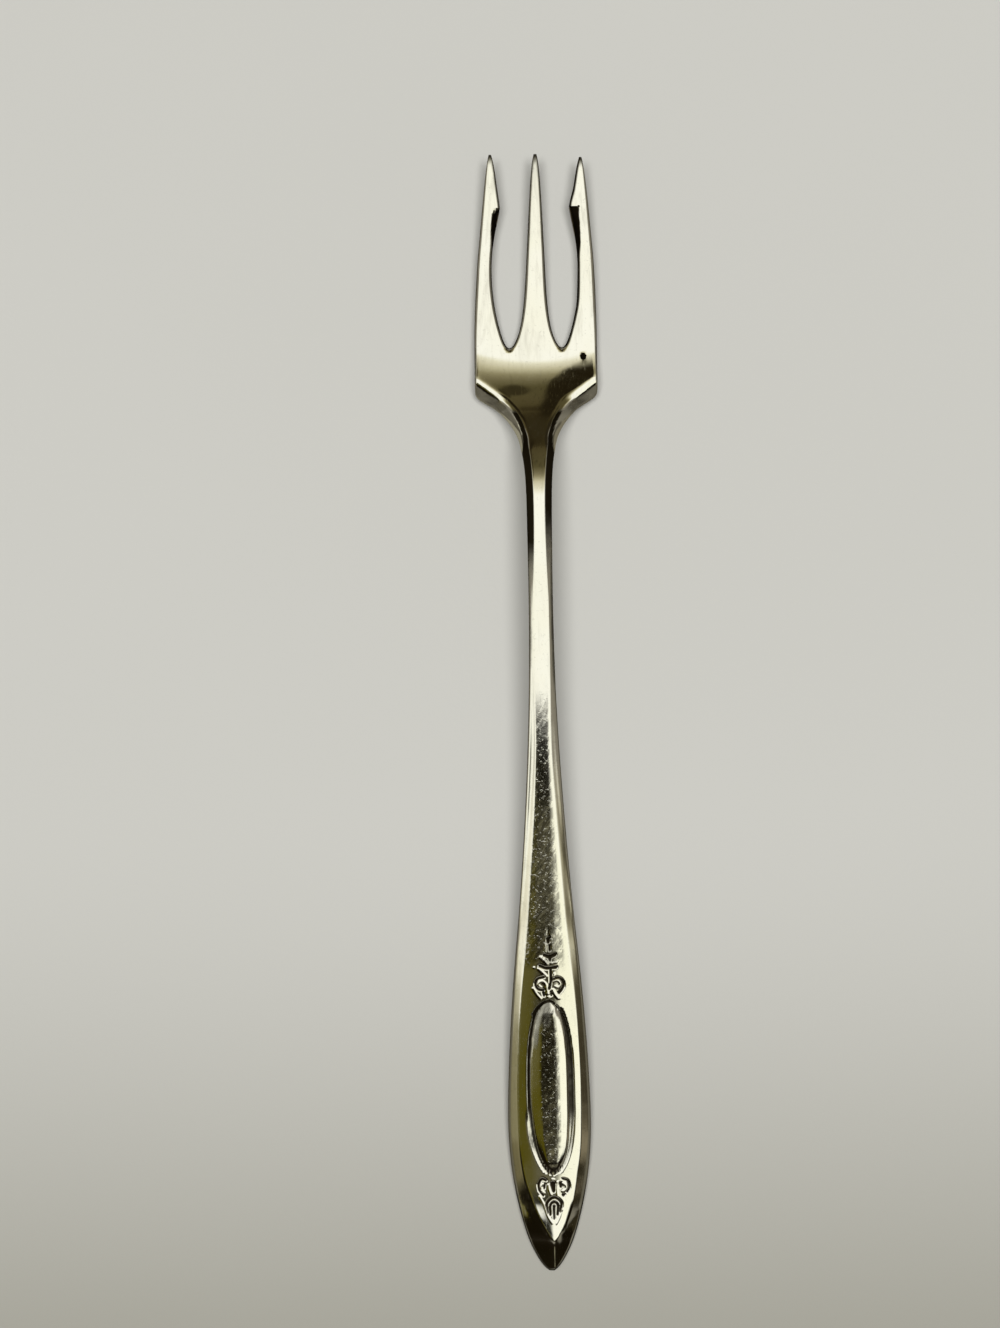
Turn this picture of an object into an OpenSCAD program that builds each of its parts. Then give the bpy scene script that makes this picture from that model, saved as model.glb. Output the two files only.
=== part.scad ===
// Three-tined pickle fork, lying face up.
// X is across the fork, +Y runs along it towards the tine tips, +Z is up.
// The origin is under the middle of the fork, on the plane it rests on.

/* [Overall] */
// Length from the handle tip to the tine tips
overall_len = 153; // [146:1:160]
// Width across the head
head_w = 16.8; // [15.4:0.2:18.2]
// Width of the stem at its narrowest
stem_w = 3.25; // [2.8:0.05:3.8]
// Width of the handle at its widest
handle_w = 11.4; // [10:0.2:12.6]

/* [Tines] */
// Length of the tines, from the bottom of the gaps to the tips
tine_len = 26.2; // [24:0.1:28.5]
// How far the barb points reach into the gaps
barb_reach = 1; // [0.4:0.1:1.2]
// Width of the filed facet under a barb
barb_facet = 1.1; // [0.6:0.1:1.2]

/* [Profile] */
// Height of the underside of the stem at its crest
stem_lift = 6.05; // [4.5:0.05:7.5]
// Height of the underside of the tine tips
tine_lift = 3.45; // [2.4:0.05:4.6]
// Thickness of the stem at its thickest
stem_t = 3.1; // [2.7:0.1:3.5]
// Height of the raised oval on the handle
medallion_h = 0.25; // [0.1:0.05:0.4]
// Depth worn off the two places that the fork rests on
worn = 0.06; // [0.03:0.01:0.08]

/* [Plating] */
// Thickness of the silver plating
plating_t = 0.03; // [0.02:0.01:0.06]
// Radius of the pit through the plating, in the head
pit_r = 0.5; // [0.3:0.05:0.6]

/* [Hidden] */

kl = overall_len / 153;              // length factor of the stations below
crotch = overall_len - tine_len;     // where the gaps between the tines end
hh = handle_w / 2;
sh = stem_w / 2;
eh = head_w / 2;
kt = stem_t / 3.1;

// Each table holds [distance from the handle tip, value].
kh = hh / 5.7;
ks = sh / 1.625;
k = eh / 8.4;
// Half-width of the body
width_tab = [
    [0, 0.06 * hh], [0.5, 0.17 * hh], [1.6, 0.31 * hh], [4, 0.52 * hh], [7.5, 0.71 * hh], [12, 0.88 * hh],
    [16, 0.965 * hh], [20.5, hh], [26, 0.975 * hh], [33, 0.91 * hh], [41, 0.8 * hh], [51, 0.63 * hh],
    [62, 0.48 * hh], [72, 0.375 * hh], [82, 1.08 * sh], [92, sh], [100, 1.02 * sh], [107, 1.07 * sh],
    [110, 1.18 * sh], [112, 1.36 * sh], [114, 1.62 * sh], [115.6, 0.4 * eh], [116.7, 0.49 * eh], [117.7, 0.59 * eh],
    [118.5, 0.7 * eh], [119.3, 0.855 * eh], [119.9, 0.96 * eh], [120.25, 0.99 * eh], [121, eh], [127, eh]
];
// Height of the underside along the axis
sl = stem_lift / 6.05;
tl = tine_lift / 3.45;
under_tab = [
    [0, 0.3], [2, 0.1], [5, 0], [8, -worn], [11, 0], [16, 0.22 * sl], [24, 0.8 * sl], [35, 1.82 * sl],
    [50, 3.3 * sl], [65, 4.75 * sl], [78, 5.65 * sl], [86, 5.95 * sl], [94, stem_lift], [100, 6.02 * sl],
    [104, 5.9 * sl], [106.5, 5.72 * sl], [108.5, 5.46 * sl], [110, 5.12 * sl], [112, 4.4 * sl], [114, 3.45 * sl],
    [116, 2.47 * sl], [118, 1.55 * sl], [120, 0.86 * sl], [122, 0.36], [123.5, 0.11], [125, -worn],
    [126.5, -0.8 * worn], [128, 0.07], [131, 0.36 * tl], [135, 0.85 * tl], [140, 1.5 * tl], [146, 2.35 * tl],
    [153, tine_lift]
];
// Thickness along the axis
thick_tab = [
    [0, 1.75], [3, 2.05], [10, 2.25], [20, 2.35], [35, 2.4], [55, 2.55 * kt], [75, 2.75 * kt], [90, 2.95 * kt],
    [104, stem_t], [112, 2.95 * kt], [116, 2.65 * kt], [119, 2.3], [122, 2.1], [126, 1.95], [133, 1.75], [140, 1.5],
    [147, 1.2], [151, 0.9], [153, 0.55]
];
// Half-width of the upper flat between its bevels, or between the rounded edges of the head
flat_tab = [
    [0, 0], [4.1, 0.1], [4.8, 0.55 * kh], [6.3, 1.4 * kh], [8.3, 2.25 * kh], [10.3, 2.9 * kh], [13, 3.55 * kh],
    [18, 4.15 * kh], [25, 4.25 * kh], [33, 4 * kh], [40, 3.45 * kh], [45, 2.85 * kh], [53.5, 2.2 * kh],
    [64, 1.45 * kh], [75, 0.95 * ks], [85, 0.8 * ks], [100, 0.8 * ks], [108, 0.9 * ks], [112, 1.1 * ks],
    [114, 1.35 * ks], [116, 1.65 * k], [117.7, 2.4 * k], [118.5, 2.75 * k], [119.3, 4 * k], [119.9, 5.6 * k],
    [120.25, 6.8 * k], [121, 7.65 * k], [122, 7.85 * k], [127, 7.85 * k]
];
// Slope of the bevels, and drop of the rounded edge outside them
slope_tab = [
    [0, 0.3], [5, 0.36], [9, 0.44], [16, 0.45], [36, 0.45], [42, 0.32], [48, 0.25], [70, 0.25], [78, 0.3], [85, 0.37],
    [92, 0.44], [97, 0.52], [108, 0.58], [112, 0.6], [115, 0.35], [117.5, 0.1], [119, 0], [127, 0]
];
down_tab = [
    [0, 0.15], [6, 0.2], [40, 0.22], [60, 0.2], [95, 0.18], [107, 0.2], [110, 0.35], [112.5, 0.65], [115, 1.05],
    [117.5, 1.2], [119.3, 1.05], [120.3, 0.85], [121.3, 0.5], [123, 0.42], [127, 0.47]
];
// Crown of the upper flat, and drop of its axis towards the point of the handle
crown_tab = [
    [0, 0], [4, 0.02], [9, 0.16], [14, 0.3], [36, 0.3], [45, 0.24], [53, 0.17], [64, 0.1], [75, 0.06], [85, 0.01], [92, 0],
    [127, 0]
];
nose_tab = [[0, 0.7], [2, 0.4], [4.1, 0], [127, 0]];
// Rise of the underside towards the edges
belly_tab = [
    [0, 0.08], [10, 0.15], [30, 0.2], [60, 0.3], [85, 0.4], [105, 0.45], [113, 0.4], [118, 0.25], [122, 0.15], [127, 0.15]
];

// The tines. Distance up a tine is q, which is 0 at the bottom of the gap and 1 at the tip; it goes with the square
// root of the length, so the gaps end in a round.
qb = 0.853;                          // the barb points
split = 0.43 * eh;                   // the bottoms of the gaps, off the axis
mid_tab = [
    [0, split], [0.09, 3.2 * k], [0.18, 2.78 * k], [0.29, 2.25 * k], [0.4, 1.85 * k], [0.51, 1.55 * k], [0.6, 1.38 * k],
    [0.68, 1.24 * k], [0.75, 1.1 * k], [0.82, 0.96 * k], [0.88, 0.82 * k], [0.94, 0.64 * k], [0.975, 0.46 * k], [1, 0.2]
];
inner_low_tab = [
    [0, split], [0.09, 3.98 * k], [0.18, 4.36 * k], [0.29, 4.82 * k], [0.4, 5.32 * k], [0.51, 5.78 * k], [0.6, 6 * k],
    [0.66, 6.02 * k], [0.72, 5.86 * k], [0.755, 5.86 * k - 0.2 * barb_reach], [0.8, 5.86 * k - 0.55 * barb_reach],
    [qb, 5.86 * k - barb_reach]
];
inner_high_tab = [[qb, 5.86 * k - barb_reach], [0.895, 5.1 * k], [0.94, 5.4 * k], [0.975, 5.68 * k], [1, 6 * k]];
outer_tab = [
    [0, eh], [0.3, 8.39 * k], [0.4, 8.34 * k], [0.51, 8.24 * k], [0.6, 8.1 * k], [0.68, 7.92 * k], [0.755, 7.66 * k],
    [0.82, 7.4 * k], [0.88, 7.14 * k], [0.94, 6.85 * k], [0.975, 6.6 * k], [1, 6.34 * k]
];

// Smooth curve through a table, which never runs past its stations.
function seg(t, tab, i = 0) = (i >= len(tab) - 2 || t <= tab[i + 1][0]) ? i : seg(t, tab, i + 1);
function slope(tab, i) = (tab[i + 1][1] - tab[i][1]) / (tab[i + 1][0] - tab[i][0]);
function tangent(tab, i) =
    i == 0 ? slope(tab, 0) : i == len(tab) - 1 ? slope(tab, i - 1) :
    let (a = slope(tab, i - 1), b = slope(tab, i)) a * b <= 0 ? 0 : 2 * a * b / (a + b);
function curve(t, tab) =
    let (i = seg(t, tab), h = tab[i + 1][0] - tab[i][0], s = max(0, min(1, (t - tab[i][0]) / h)),
         s2 = s * s, s3 = s2 * s)
    (2 * s3 - 3 * s2 + 1) * tab[i][1] + (s3 - 2 * s2 + s) * h * tangent(tab, i) +
    (3 * s2 - 2 * s3) * tab[i + 1][1] + (s3 - s2) * h * tangent(tab, i + 1);
function mix(a, b, s) = a + (b - a) * s;

// Rows of the body, from the handle tip to the bottom of the gaps. The pit lies between the last two.
body_rows = concat(
    [0, 0.2, 0.5, 1, 1.7, 2.6], [for (i = [0:23]) 3.6 + 1.65 * i], [for (i = [0:24]) 44 + 2.6 * i],
    [for (i = [0:3]) 108.3 + 1.25 * i], [for (i = [0:14]) 113.2 + 0.55 * i], [121.6, 122.4, 123.4, 124.3, 126.8]
);
nb = len(body_rows);
row_v = [for (i = [0:nb - 1]) body_rows[i] * crotch / 126.8];
// Columns across the body: the edge, a line on the bevel, then parts of the flat between the bevels.
columns = [-1, -1, -1, -0.7, -0.48, -0.24, 0, 0.24, 0.48, 0.7, 1, 1, 1];
nc = len(columns);

function dome(v, x) = medallion_h * max(0, 1 - pow((v - 25.3) / 11.6, 2) - pow(x * 5.7 / hh / 2.9, 2));
function flat(v) = let (w = curve(v, width_tab)) max(0.12 * w, min(0.94 * w, curve(v, flat_tab)));
// Across a body row: x, how far the upper face lies under the axis height, how far the underside rises.
function body_x(v, j) =
    let (w = curve(v, width_tab), c = flat(v), half = [w, mix(w, c, 0.3), c][min(j, nc - 1 - j, 2)],
         // in the head the inner columns run on to the bottoms of the gaps
         f = mix(c, split / 0.48, max(0, min(1, (v - 121) / 4))))
    (j < 3 || j > nc - 4) ? sign(columns[j]) * half : columns[j] * f;
function body_drop(v, j) =
    let (d = min(j, nc - 1 - j), x = abs(body_x(v, j)), t = x / max(0.7, flat(v)), e = curve(v, down_tab))
    curve(v, nose_tab) + curve(v, crown_tab) * (t < 1 ? t * t : min(2, 2 * t - 1)) +
    curve(v, slope_tab) * max(0, x - flat(v)) + (d == 0 ? e : d == 1 ? 0.2 * e : 0);
function body_top(v, j) = curve(v, under_tab) + curve(v, thick_tab) - body_drop(v, j) + dome(v, body_x(v, j));
function body_rise(v, j) =
    curve(v, belly_tab) * pow(body_x(v, j) / curve(v, width_tab), 2) + (j == 0 || j == nc - 1 ? 0.3 * curve(v, down_tab) : 0);
function body_under(v, j) = curve(v, under_tab) + body_rise(v, j);

// Rows of the tines, with two close rows at the barbs: the facet under the barb, then the whole tine over it.
tine_q = concat([for (i = [1:15]) qb * i / 15], [for (i = [0:6]) mix(qb + 0.004, 1, i / 6)]);
nq = len(tine_q);
nt = 5;                              // columns of a tine
function tine_v(q) = crotch + tine_len * q * q;
function inner(q) = q <= qb ? curve(q, inner_low_tab) : curve(q, inner_high_tab);
// How far the facet under a barb has come in, from 0 at its foot to 1 at the barb
function facet(q) = q > qb ? 0 : max(0, min(1, (q - 0.7) / (qb - 0.7)));
// Places of the columns across a tine, from its outer or left edge to its inner or right edge. At the bottom of the
// gaps they are the columns of the body.
function place0(side, m) =
    side == 0 ? [0, 0.25, 0.5, 0.75, 1][m] :
    let (b = eh - flat(126.8), w = eh - split) [0, 0.3 * b / w, b / w, (eh - 0.7 * split / 0.48) / w, 1][m];
function place1(side, q, m) =
    let (cut = barb_facet * facet(q) / (curve(q, outer_tab) - inner(q)))
    [0, 0.2, 0.5 - 0.15 * (side == 0 ? 0 : facet(q)), side == 0 ? 0.8 : min(0.8, 1 - cut), 1][m];
function tine_place(side, q, m) = mix(place0(side, m), place1(side, q, m), min(1, q / 0.45));
// side is -1, 0 or 1
function tine_x(side, q, m) =
    side == 0 ? mix(-1, 1, tine_place(0, q, m)) * curve(q, mid_tab) :
    side * mix(curve(q, outer_tab), inner(q), tine_place(side, q, side < 0 ? m : nt - 1 - m));
function tine_drop(side, q, m) =
    let (n = side > 0 ? nt - 1 - m : m, t = curve(tine_v(q) / kl, thick_tab), body = curve(126.8, down_tab),
         edge = 0.3 * t, line = 0.05 * t, s = min(1, q / 0.45),
         low = side == 0 ? [edge, line, 0, line, edge] : [edge, line, 0, line, max(edge, 0.7 * t * facet(q))],
         base = side == 0 ? [0, 0, 0, 0, 0] : [body, 0.2 * body, 0, 0, 0])
    mix(base[n], low[n], s);
function tine_rise(side, q, m) =
    let (x = tine_x(side, q, m), t = curve(tine_v(q) / kl, thick_tab), n = side > 0 ? nt - 1 - m : m, s = min(1, q / 0.45))
    mix(curve(126.8, belly_tab) * pow(x / eh, 2) + (side != 0 && n == 0 ? 0.3 * curve(126.8, down_tab) : 0),
        [0.2, 0.05, 0, 0.05, 0.2][n] * t, s);
function tine_under(side, q, m) = curve(tine_v(q) / kl, under_tab) + tine_rise(side, q, m);
function tine_top(side, q, m) =
    curve(tine_v(q) / kl, under_tab) + curve(tine_v(q) / kl, thick_tab) - tine_drop(side, q, m);

// All points of the fork's surface, moved out by o: the upper and lower points of each body row, then of each tine.
function body_points(o) = [
    for (i = [0:nb - 1], face = [1, -1], j = [0:nc - 1])
        let (v = row_v[i], t = v / kl, sx = j == 0 ? -1 : j == nc - 1 ? 1 : 0,
             sy = i == 0 ? -1 : i == nb - 1 && (j == 4 || j == 8) ? 1 : 0)
        [body_x(t, j) + sx * o, v + sy * o - overall_len / 2,
         face > 0 ? body_top(t, j) + o : body_under(t, j) - o]
];
function tine_points(o) = [
    for (side = [-1, 0, 1], i = [0:nq - 1], face = [1, -1], m = [0:nt - 1])
        let (q = tine_q[i], sx = m == 0 ? -1 : m == nt - 1 ? 1 : 0, sy = i == nq - 1 ? 1 : 0)
        [tine_x(side, q, m) + sx * o, tine_v(q) + sy * o - overall_len / 2,
         face > 0 ? tine_top(side, q, m) + o : tine_under(side, q, m) - o]
];
function fork_points(o) = let (p = concat(body_points(o), tine_points(o))) concat(p, pit_ring(p));
np = nb * 2 * nc + 3 * nq * 2 * nt + 8;

// Number of a point: row i of the body, or row i of tine s, whose row 0 is the last row of the body
function bi(i, face, j) = (i * 2 + face) * nc + j;
function ti(s, i, face, m) =
    i == 0 ? bi(nb - 1, face, 4 * s + m) : nb * 2 * nc + ((s * nq + i - 1) * 2 + face) * nt + m;
function quad(a, b, c, d) = [[a, b, c], [a, c, d]];

// The pit: a ring of eight points in one cell of the upper face
pit_row = nb - 2;
pit_col = 9;
pit_sink = 0.15;                     // how deep it goes into the blank
pit_cell = [bi(pit_row, 0, pit_col), bi(pit_row + 1, 0, pit_col), bi(pit_row + 1, 0, pit_col + 1),
            bi(pit_row, 0, pit_col + 1)];
function in_cell(p, sx, sy) = let (c = [for (n = pit_cell) p[n]]) mix(mix(c[0], c[3], sx), mix(c[1], c[2], sx), sy);
function pit_ring(p) =
    let (wx = p[pit_cell[3]][0] - p[pit_cell[0]][0], wy = p[pit_cell[1]][1] - p[pit_cell[0]][1])
    [for (n = [0:7]) let (a = 270 - 45 * n) in_cell(p, 0.5 + pit_r * cos(a) / wx, 0.5 + pit_r * sin(a) / wy)];
function pit_floor(p) = in_cell(p, 0.5, 0.5) - [0, 0, pit_sink];
function pr(n) = np - 8 + n % 8;
pit_faces = [
    for (c = [0:3])
        each [[pit_cell[c], pit_cell[(c + 1) % 4], pr(2 * c + 2)], [pit_cell[c], pr(2 * c + 2), pr(2 * c + 1)],
              [pit_cell[c], pr(2 * c + 1), pr(2 * c)]]
];

function join(lists) = [for (l = lists, f = l) f];
function body_faces() = join([
    for (i = [0:nb - 2], j = [0:nc - 2]) if (i != pit_row || j != pit_col)
        quad(bi(i, 0, j), bi(i + 1, 0, j), bi(i + 1, 0, j + 1), bi(i, 0, j + 1)),
    for (i = [0:nb - 2], j = [0:nc - 2])
        quad(bi(i, 1, j), bi(i, 1, j + 1), bi(i + 1, 1, j + 1), bi(i + 1, 1, j)),
    for (i = [0:nb - 2]) quad(bi(i, 0, 0), bi(i, 1, 0), bi(i + 1, 1, 0), bi(i + 1, 0, 0)),
    for (i = [0:nb - 2])
        quad(bi(i, 0, nc - 1), bi(i + 1, 0, nc - 1), bi(i + 1, 1, nc - 1), bi(i, 1, nc - 1)),
    for (j = [0:nc - 2]) quad(bi(0, 0, j), bi(0, 0, j + 1), bi(0, 1, j + 1), bi(0, 1, j))
]);
function tine_faces() = join([
    for (s = [0:2], i = [0:nq - 1], m = [0:nt - 2])
        quad(ti(s, i, 0, m), ti(s, i + 1, 0, m), ti(s, i + 1, 0, m + 1), ti(s, i, 0, m + 1)),
    for (s = [0:2], i = [0:nq - 1], m = [0:nt - 2])
        quad(ti(s, i, 1, m), ti(s, i, 1, m + 1), ti(s, i + 1, 1, m + 1), ti(s, i + 1, 1, m)),
    for (s = [0:2], i = [0:nq - 1])
        quad(ti(s, i, 0, 0), ti(s, i, 1, 0), ti(s, i + 1, 1, 0), ti(s, i + 1, 0, 0)),
    for (s = [0:2], i = [0:nq - 1])
        quad(ti(s, i, 0, nt - 1), ti(s, i + 1, 0, nt - 1), ti(s, i + 1, 1, nt - 1), ti(s, i, 1, nt - 1)),
    for (s = [0:2], m = [0:nt - 2])
        quad(ti(s, nq, 0, m), ti(s, nq, 1, m), ti(s, nq, 1, m + 1), ti(s, nq, 0, m + 1))
]);
fork_faces = concat(body_faces(), tine_faces(), pit_faces);
function turned(faces, n) = [for (f = faces) [f[0] + n, f[2] + n, f[1] + n]];

// What has been worn away under the two places that the fork rests on
module worn_away() {
    translate([-head_w, -overall_len, -5]) cube([2 * head_w, 2 * overall_len, 5]);
}

// The fork as struck: one piece of nickel silver, with the pit eaten a little way into it
module fork_blank() {
    points = fork_points(0);
    color([0.72, 0.66, 0.52])
    difference() {
        polyhedron(concat(points, [pit_floor(points)]), concat(fork_faces, [for (n = [0:7]) [np, pr(n), pr(n + 1)]]));
        worn_away();
    }
}

// The silver on it, with the pit as a hole through it
module silver_plating() {
    color([0.82, 0.8, 0.74])
    difference() {
        polyhedron(
            concat(fork_points(plating_t), fork_points(0)),
            concat(
                fork_faces, turned(fork_faces, np),
                join([for (n = [0:7]) quad(pr(n), pr(n + 1), pr(n + 1) + np, pr(n) + np)])
            )
        );
        worn_away();
    }
}

fork_blank();
silver_plating();
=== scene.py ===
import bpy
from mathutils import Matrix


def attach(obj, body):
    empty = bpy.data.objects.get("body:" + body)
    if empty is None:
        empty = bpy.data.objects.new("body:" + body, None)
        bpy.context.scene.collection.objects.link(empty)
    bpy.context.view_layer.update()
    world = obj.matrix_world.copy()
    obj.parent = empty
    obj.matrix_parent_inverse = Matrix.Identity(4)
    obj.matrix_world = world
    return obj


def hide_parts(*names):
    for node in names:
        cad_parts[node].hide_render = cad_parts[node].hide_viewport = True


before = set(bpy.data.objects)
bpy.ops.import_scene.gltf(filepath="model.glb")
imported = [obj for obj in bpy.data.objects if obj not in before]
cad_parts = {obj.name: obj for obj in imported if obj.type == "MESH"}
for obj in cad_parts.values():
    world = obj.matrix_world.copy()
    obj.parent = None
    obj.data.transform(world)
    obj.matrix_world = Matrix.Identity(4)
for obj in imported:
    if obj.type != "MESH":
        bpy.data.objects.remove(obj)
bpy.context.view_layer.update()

import math

import bpy
import numpy as np
from mathutils import Matrix, Vector
from mathutils.kdtree import KDTree

# ---------------------------------------------------------------------------------------------------------------
# The fork's shape. Lengths are in millimetres; v runs from the handle tip to the tine tips, x across, z up.
# ---------------------------------------------------------------------------------------------------------------

LENGTH = 153.0
CROTCH = 126.8      # where the gaps between the tines end
TINE = LENGTH - CROTCH
HALF_HANDLE, HALF_STEM, HALF_HEAD = 5.7, 1.625, 8.4
SPLIT = 0.43 * HALF_HEAD
PLATING = 0.03


def curve(t, tab):
    """Smooth curve through a table of (place, value), which never runs past its stations."""
    t = np.asarray(t, float)
    xs, ys = (np.array(c, float) for c in zip(*tab))
    d = np.diff(ys) / np.diff(xs)
    a, b = d[:-1], d[1:]
    m = np.concatenate(([d[0]], np.where(a * b <= 0, 0, 2 * a * b / np.where(a + b == 0, 1, a + b)), [d[-1]]))
    i = np.clip(np.searchsorted(xs, t) - 1, 0, len(xs) - 2)
    h = xs[i + 1] - xs[i]
    s = np.clip((t - xs[i]) / h, 0, 1)
    return ((2 * s**3 - 3 * s**2 + 1) * ys[i] + (s**3 - 2 * s**2 + s) * h * m[i]
            + (3 * s**2 - 2 * s**3) * ys[i + 1] + (s**3 - s**2) * h * m[i + 1])


def smooth(e0, e1, t):
    s = np.clip((t - e0) / (e1 - e0), 0, 1)
    return s * s * (3 - 2 * s)


def hinge(t, r):
    """A bend of 1 in 1 that starts at t = 0, rounded over about 4 r."""
    return r * np.logaddexp(0, t / r)


H, S, E = HALF_HANDLE, HALF_STEM, HALF_HEAD
WIDTH = [
    (0, 0.06 * H), (0.5, 0.17 * H), (1.6, 0.31 * H), (4, 0.52 * H), (7.5, 0.71 * H), (12, 0.88 * H), (16, 0.965 * H),
    (20.5, H), (26, 0.975 * H), (33, 0.91 * H), (41, 0.8 * H), (51, 0.63 * H), (62, 0.48 * H), (72, 0.375 * H),
    (82, 1.08 * S), (92, S), (100, 1.02 * S), (107, 1.07 * S), (110, 1.18 * S), (112, 1.36 * S), (114, 1.62 * S),
    (115.6, 0.4 * E), (116.7, 0.49 * E), (117.7, 0.59 * E), (118.5, 0.7 * E), (119.3, 0.855 * E), (119.9, 0.96 * E),
    (120.25, 0.99 * E), (121, E), (127, E),
]
UNDER = [
    (0, 0.3), (2, 0.1), (5, 0), (8, -0.06), (11, 0), (16, 0.22), (24, 0.8), (35, 1.82), (50, 3.3), (65, 4.75),
    (78, 5.65), (86, 5.95), (94, 6.05), (100, 6.02), (104, 5.93), (106.5, 5.79), (108.5, 5.58), (110, 5.28), (112, 4.58),
    (114, 3.57), (116, 2.5), (118, 1.55), (120, 0.86), (122, 0.36), (123.5, 0.11), (125, -0.05), (126.5, -0.04),
    (128, 0.07), (131, 0.36), (135, 0.85), (140, 1.5), (146, 2.35), (153, 3.45),
]
THICK = [
    (0, 1.9), (3, 2.18), (6, 2.25), (10, 2.27), (20, 2.365), (35, 2.41), (55, 2.54), (75, 2.77), (90, 2.97), (104, 3.07), (112, 2.945),
    (116, 2.63), (119, 2.32), (122, 2.11), (126, 1.95), (133, 1.75), (140, 1.5), (147, 1.2), (151, 0.9), (153, 0.55),
]
# the crest between the upper flat and its bevel, off the axis; under 0 it has closed to a ridge
CREST = [
    (0, -2.2), (2, -1.1), (4.1, 0), (4.8, 0.55), (6.3, 1.38), (8.3, 2.27), (10.3, 2.9), (13, 3.55), (18, 4.15),
    (25, 4.25), (33, 4), (40, 3.45), (45, 2.85), (53.5, 2.2), (64, 1.44), (75, 0.98), (82, 1), (87, 1.02),
    (92, 0.92), (96, 0.8), (100, 0.7), (104, 0.66), (107, 0.68), (109, 0.78), (112, 1.05), (116, 1.6), (127, 1.8),
]
BEVEL_SLOPE = [
    (0, 0.4), (5, 0.42), (9, 0.44), (16, 0.45), (36, 0.45), (42, 0.32), (48, 0.25), (70, 0.25), (78, 0.3), (86, 0.36),
    (92, 0.42), (96, 0.5), (100, 0.54), (108, 0.55), (111.5, 0.55), (113, 0.4), (114.5, 0.1), (115.5, 0), (127, 0),
]
# how far the flat's crest lies under the axis
CROWN = [
    (0, 0), (4, 0.02), (9, 0.16), (14, 0.3), (36, 0.3), (45, 0.24), (53, 0.17), (64, 0.105), (75, 0.06), (85, 0.01),
    (92, 0), (127, 0),
]
# the hollow across the head: how far its edges lie over the axis
DISH = [(0, 0), (112, 0), (115, 0.15), (118, 0.45), (121, 0.55), (124, 0.5), (127, 0.28), (130, 0.08), (132, 0), (153, 0)]
# rounding of the upper edge: how far in, how far down
EDGE_IN = [
    (0, 0.3), (6, 0.35), (40, 0.35), (60, 0.25), (95, 0.2), (107, 0.22), (112, 0.3), (116, 0.3), (119, 0.22), (121.5, 0.25), (124, 0.5), (128, 0.6), (134, 0.75), (140, 0.7), (148, 0.5), (153, 0.18),
]
EDGE_DOWN = [
    (0, 0.15), (6, 0.2), (40, 0.22), (60, 0.2), (95, 0.18), (107, 0.2), (112, 0.25), (116, 0.25), (119, 0.15), (121.5, 0.18), (124, 0.42), (128, 0.48), (134, 0.55), (140, 0.48), (148, 0.36), (153, 0.14),
]
# the slanted side of the neck and the shoulders: how far in it begins
FLANK = [
    (0, -9), (108, -2.5), (111, -0.4), (112.5, 0.2), (114, 0.6), (115.5, 0.85), (117, 1.15), (118.3, 1.4), (119.5, 1.48),
    (153, 1.48),
]
# the bevel beside it, which takes over from the stem's: its width and its slope
STRIP = [(0, 0.95), (112, 0.95), (113, 0.88), (114, 0.75), (115.5, 0.66), (118, 0.62), (120, 0.64), (153, 0.64)]
STRIP_SLOPE = [(0, 0.5), (114, 0.48), (116, 0.4), (117.5, 0.31), (118.8, 0.3), (119.8, 0.45), (121, 0.52), (153, 0.52)]
# the fork is a little bent: how far its axis lies off a straight line
BEND = [(0, 0), (60, 0), (80, -0.06), (100, -0.07), (112, -0.04), (115.5, -0.08), (118, -0.12), (126, -0.1), (140, 0.1), (153, 0.24)]
BELLY = [(0, 0.08), (10, 0.15), (30, 0.2), (60, 0.3), (85, 0.4), (105, 0.45), (113, 0.4), (118, 0.25), (122, 0.15), (127, 0.15)]
MID = [
    (0, SPLIT), (0.09, 3.2), (0.18, 2.78), (0.29, 2.25), (0.4, 1.85), (0.514, 1.55), (0.603, 1.38), (0.684, 1.24),
    (0.754, 1.1), (0.82, 0.96), (0.879, 0.82), (0.937, 0.64), (0.976, 0.46), (1, 0.2),
]
QB = 0.853          # the barb points
INNER_LOW = [
    (0, SPLIT), (0.09, 3.98), (0.18, 4.36), (0.29, 4.82), (0.4, 5.32), (0.514, 5.78), (0.603, 6.0), (0.66, 6.02),
    (0.719, 5.88), (0.754, 5.68), (0.781, 5.48), (0.804, 5.27), (0.825, 5.08), (QB, 4.86),
]
INNER_HIGH = [(QB, 4.86), (0.864, 4.9), (0.894, 5.1), (0.937, 5.38), (0.976, 5.68), (1, 6.0)]
OUTER = [
    (0, E), (0.3, 8.39), (0.4, 8.34), (0.514, 8.24), (0.603, 8.1), (0.684, 7.92), (0.754, 7.66), (0.82, 7.4),
    (0.879, 7.14), (0.937, 6.85), (0.976, 6.6), (1, 6.34),
]
_q = np.linspace(0, 1, 1001)


def even_q(tab, sigma=0.022):
    """A table over the tine, evened out between its ends."""
    lo, hi = tab[0][0], tab[-1][0]
    q = np.linspace(lo, hi, int(round((hi - lo) * 1000)) + 1)
    y = curve(q, tab)
    out = y.copy()
    for i in range(len(y)):
        reach = min(int(3 * sigma * 1000), i, len(y) - 1 - i)
        k = np.arange(-reach, reach + 1)
        w = np.exp(-0.5 * (k / 1000 / sigma) ** 2)
        out[i] = (w * y[i - reach:i + reach + 1]).sum() / w.sum()
    return q, out


_mid, _low, _high, _outer = even_q(MID), even_q(INNER_LOW), even_q(INNER_HIGH, 0.01), even_q(OUTER)


def middle(q):
    return np.interp(q, *_mid)


def outer(q):
    return np.interp(q, *_outer)


def inner(q, side=-1):
    """Inner edge of an outer tine; the right one is a little broader about its barb."""
    x = np.where(q <= QB, np.interp(q, *_low), np.interp(q, *_high))
    return x - (0.24 * smooth(0.45, 0.62, q) * smooth(0.92, QB, q) if side > 0 else 0)


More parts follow.
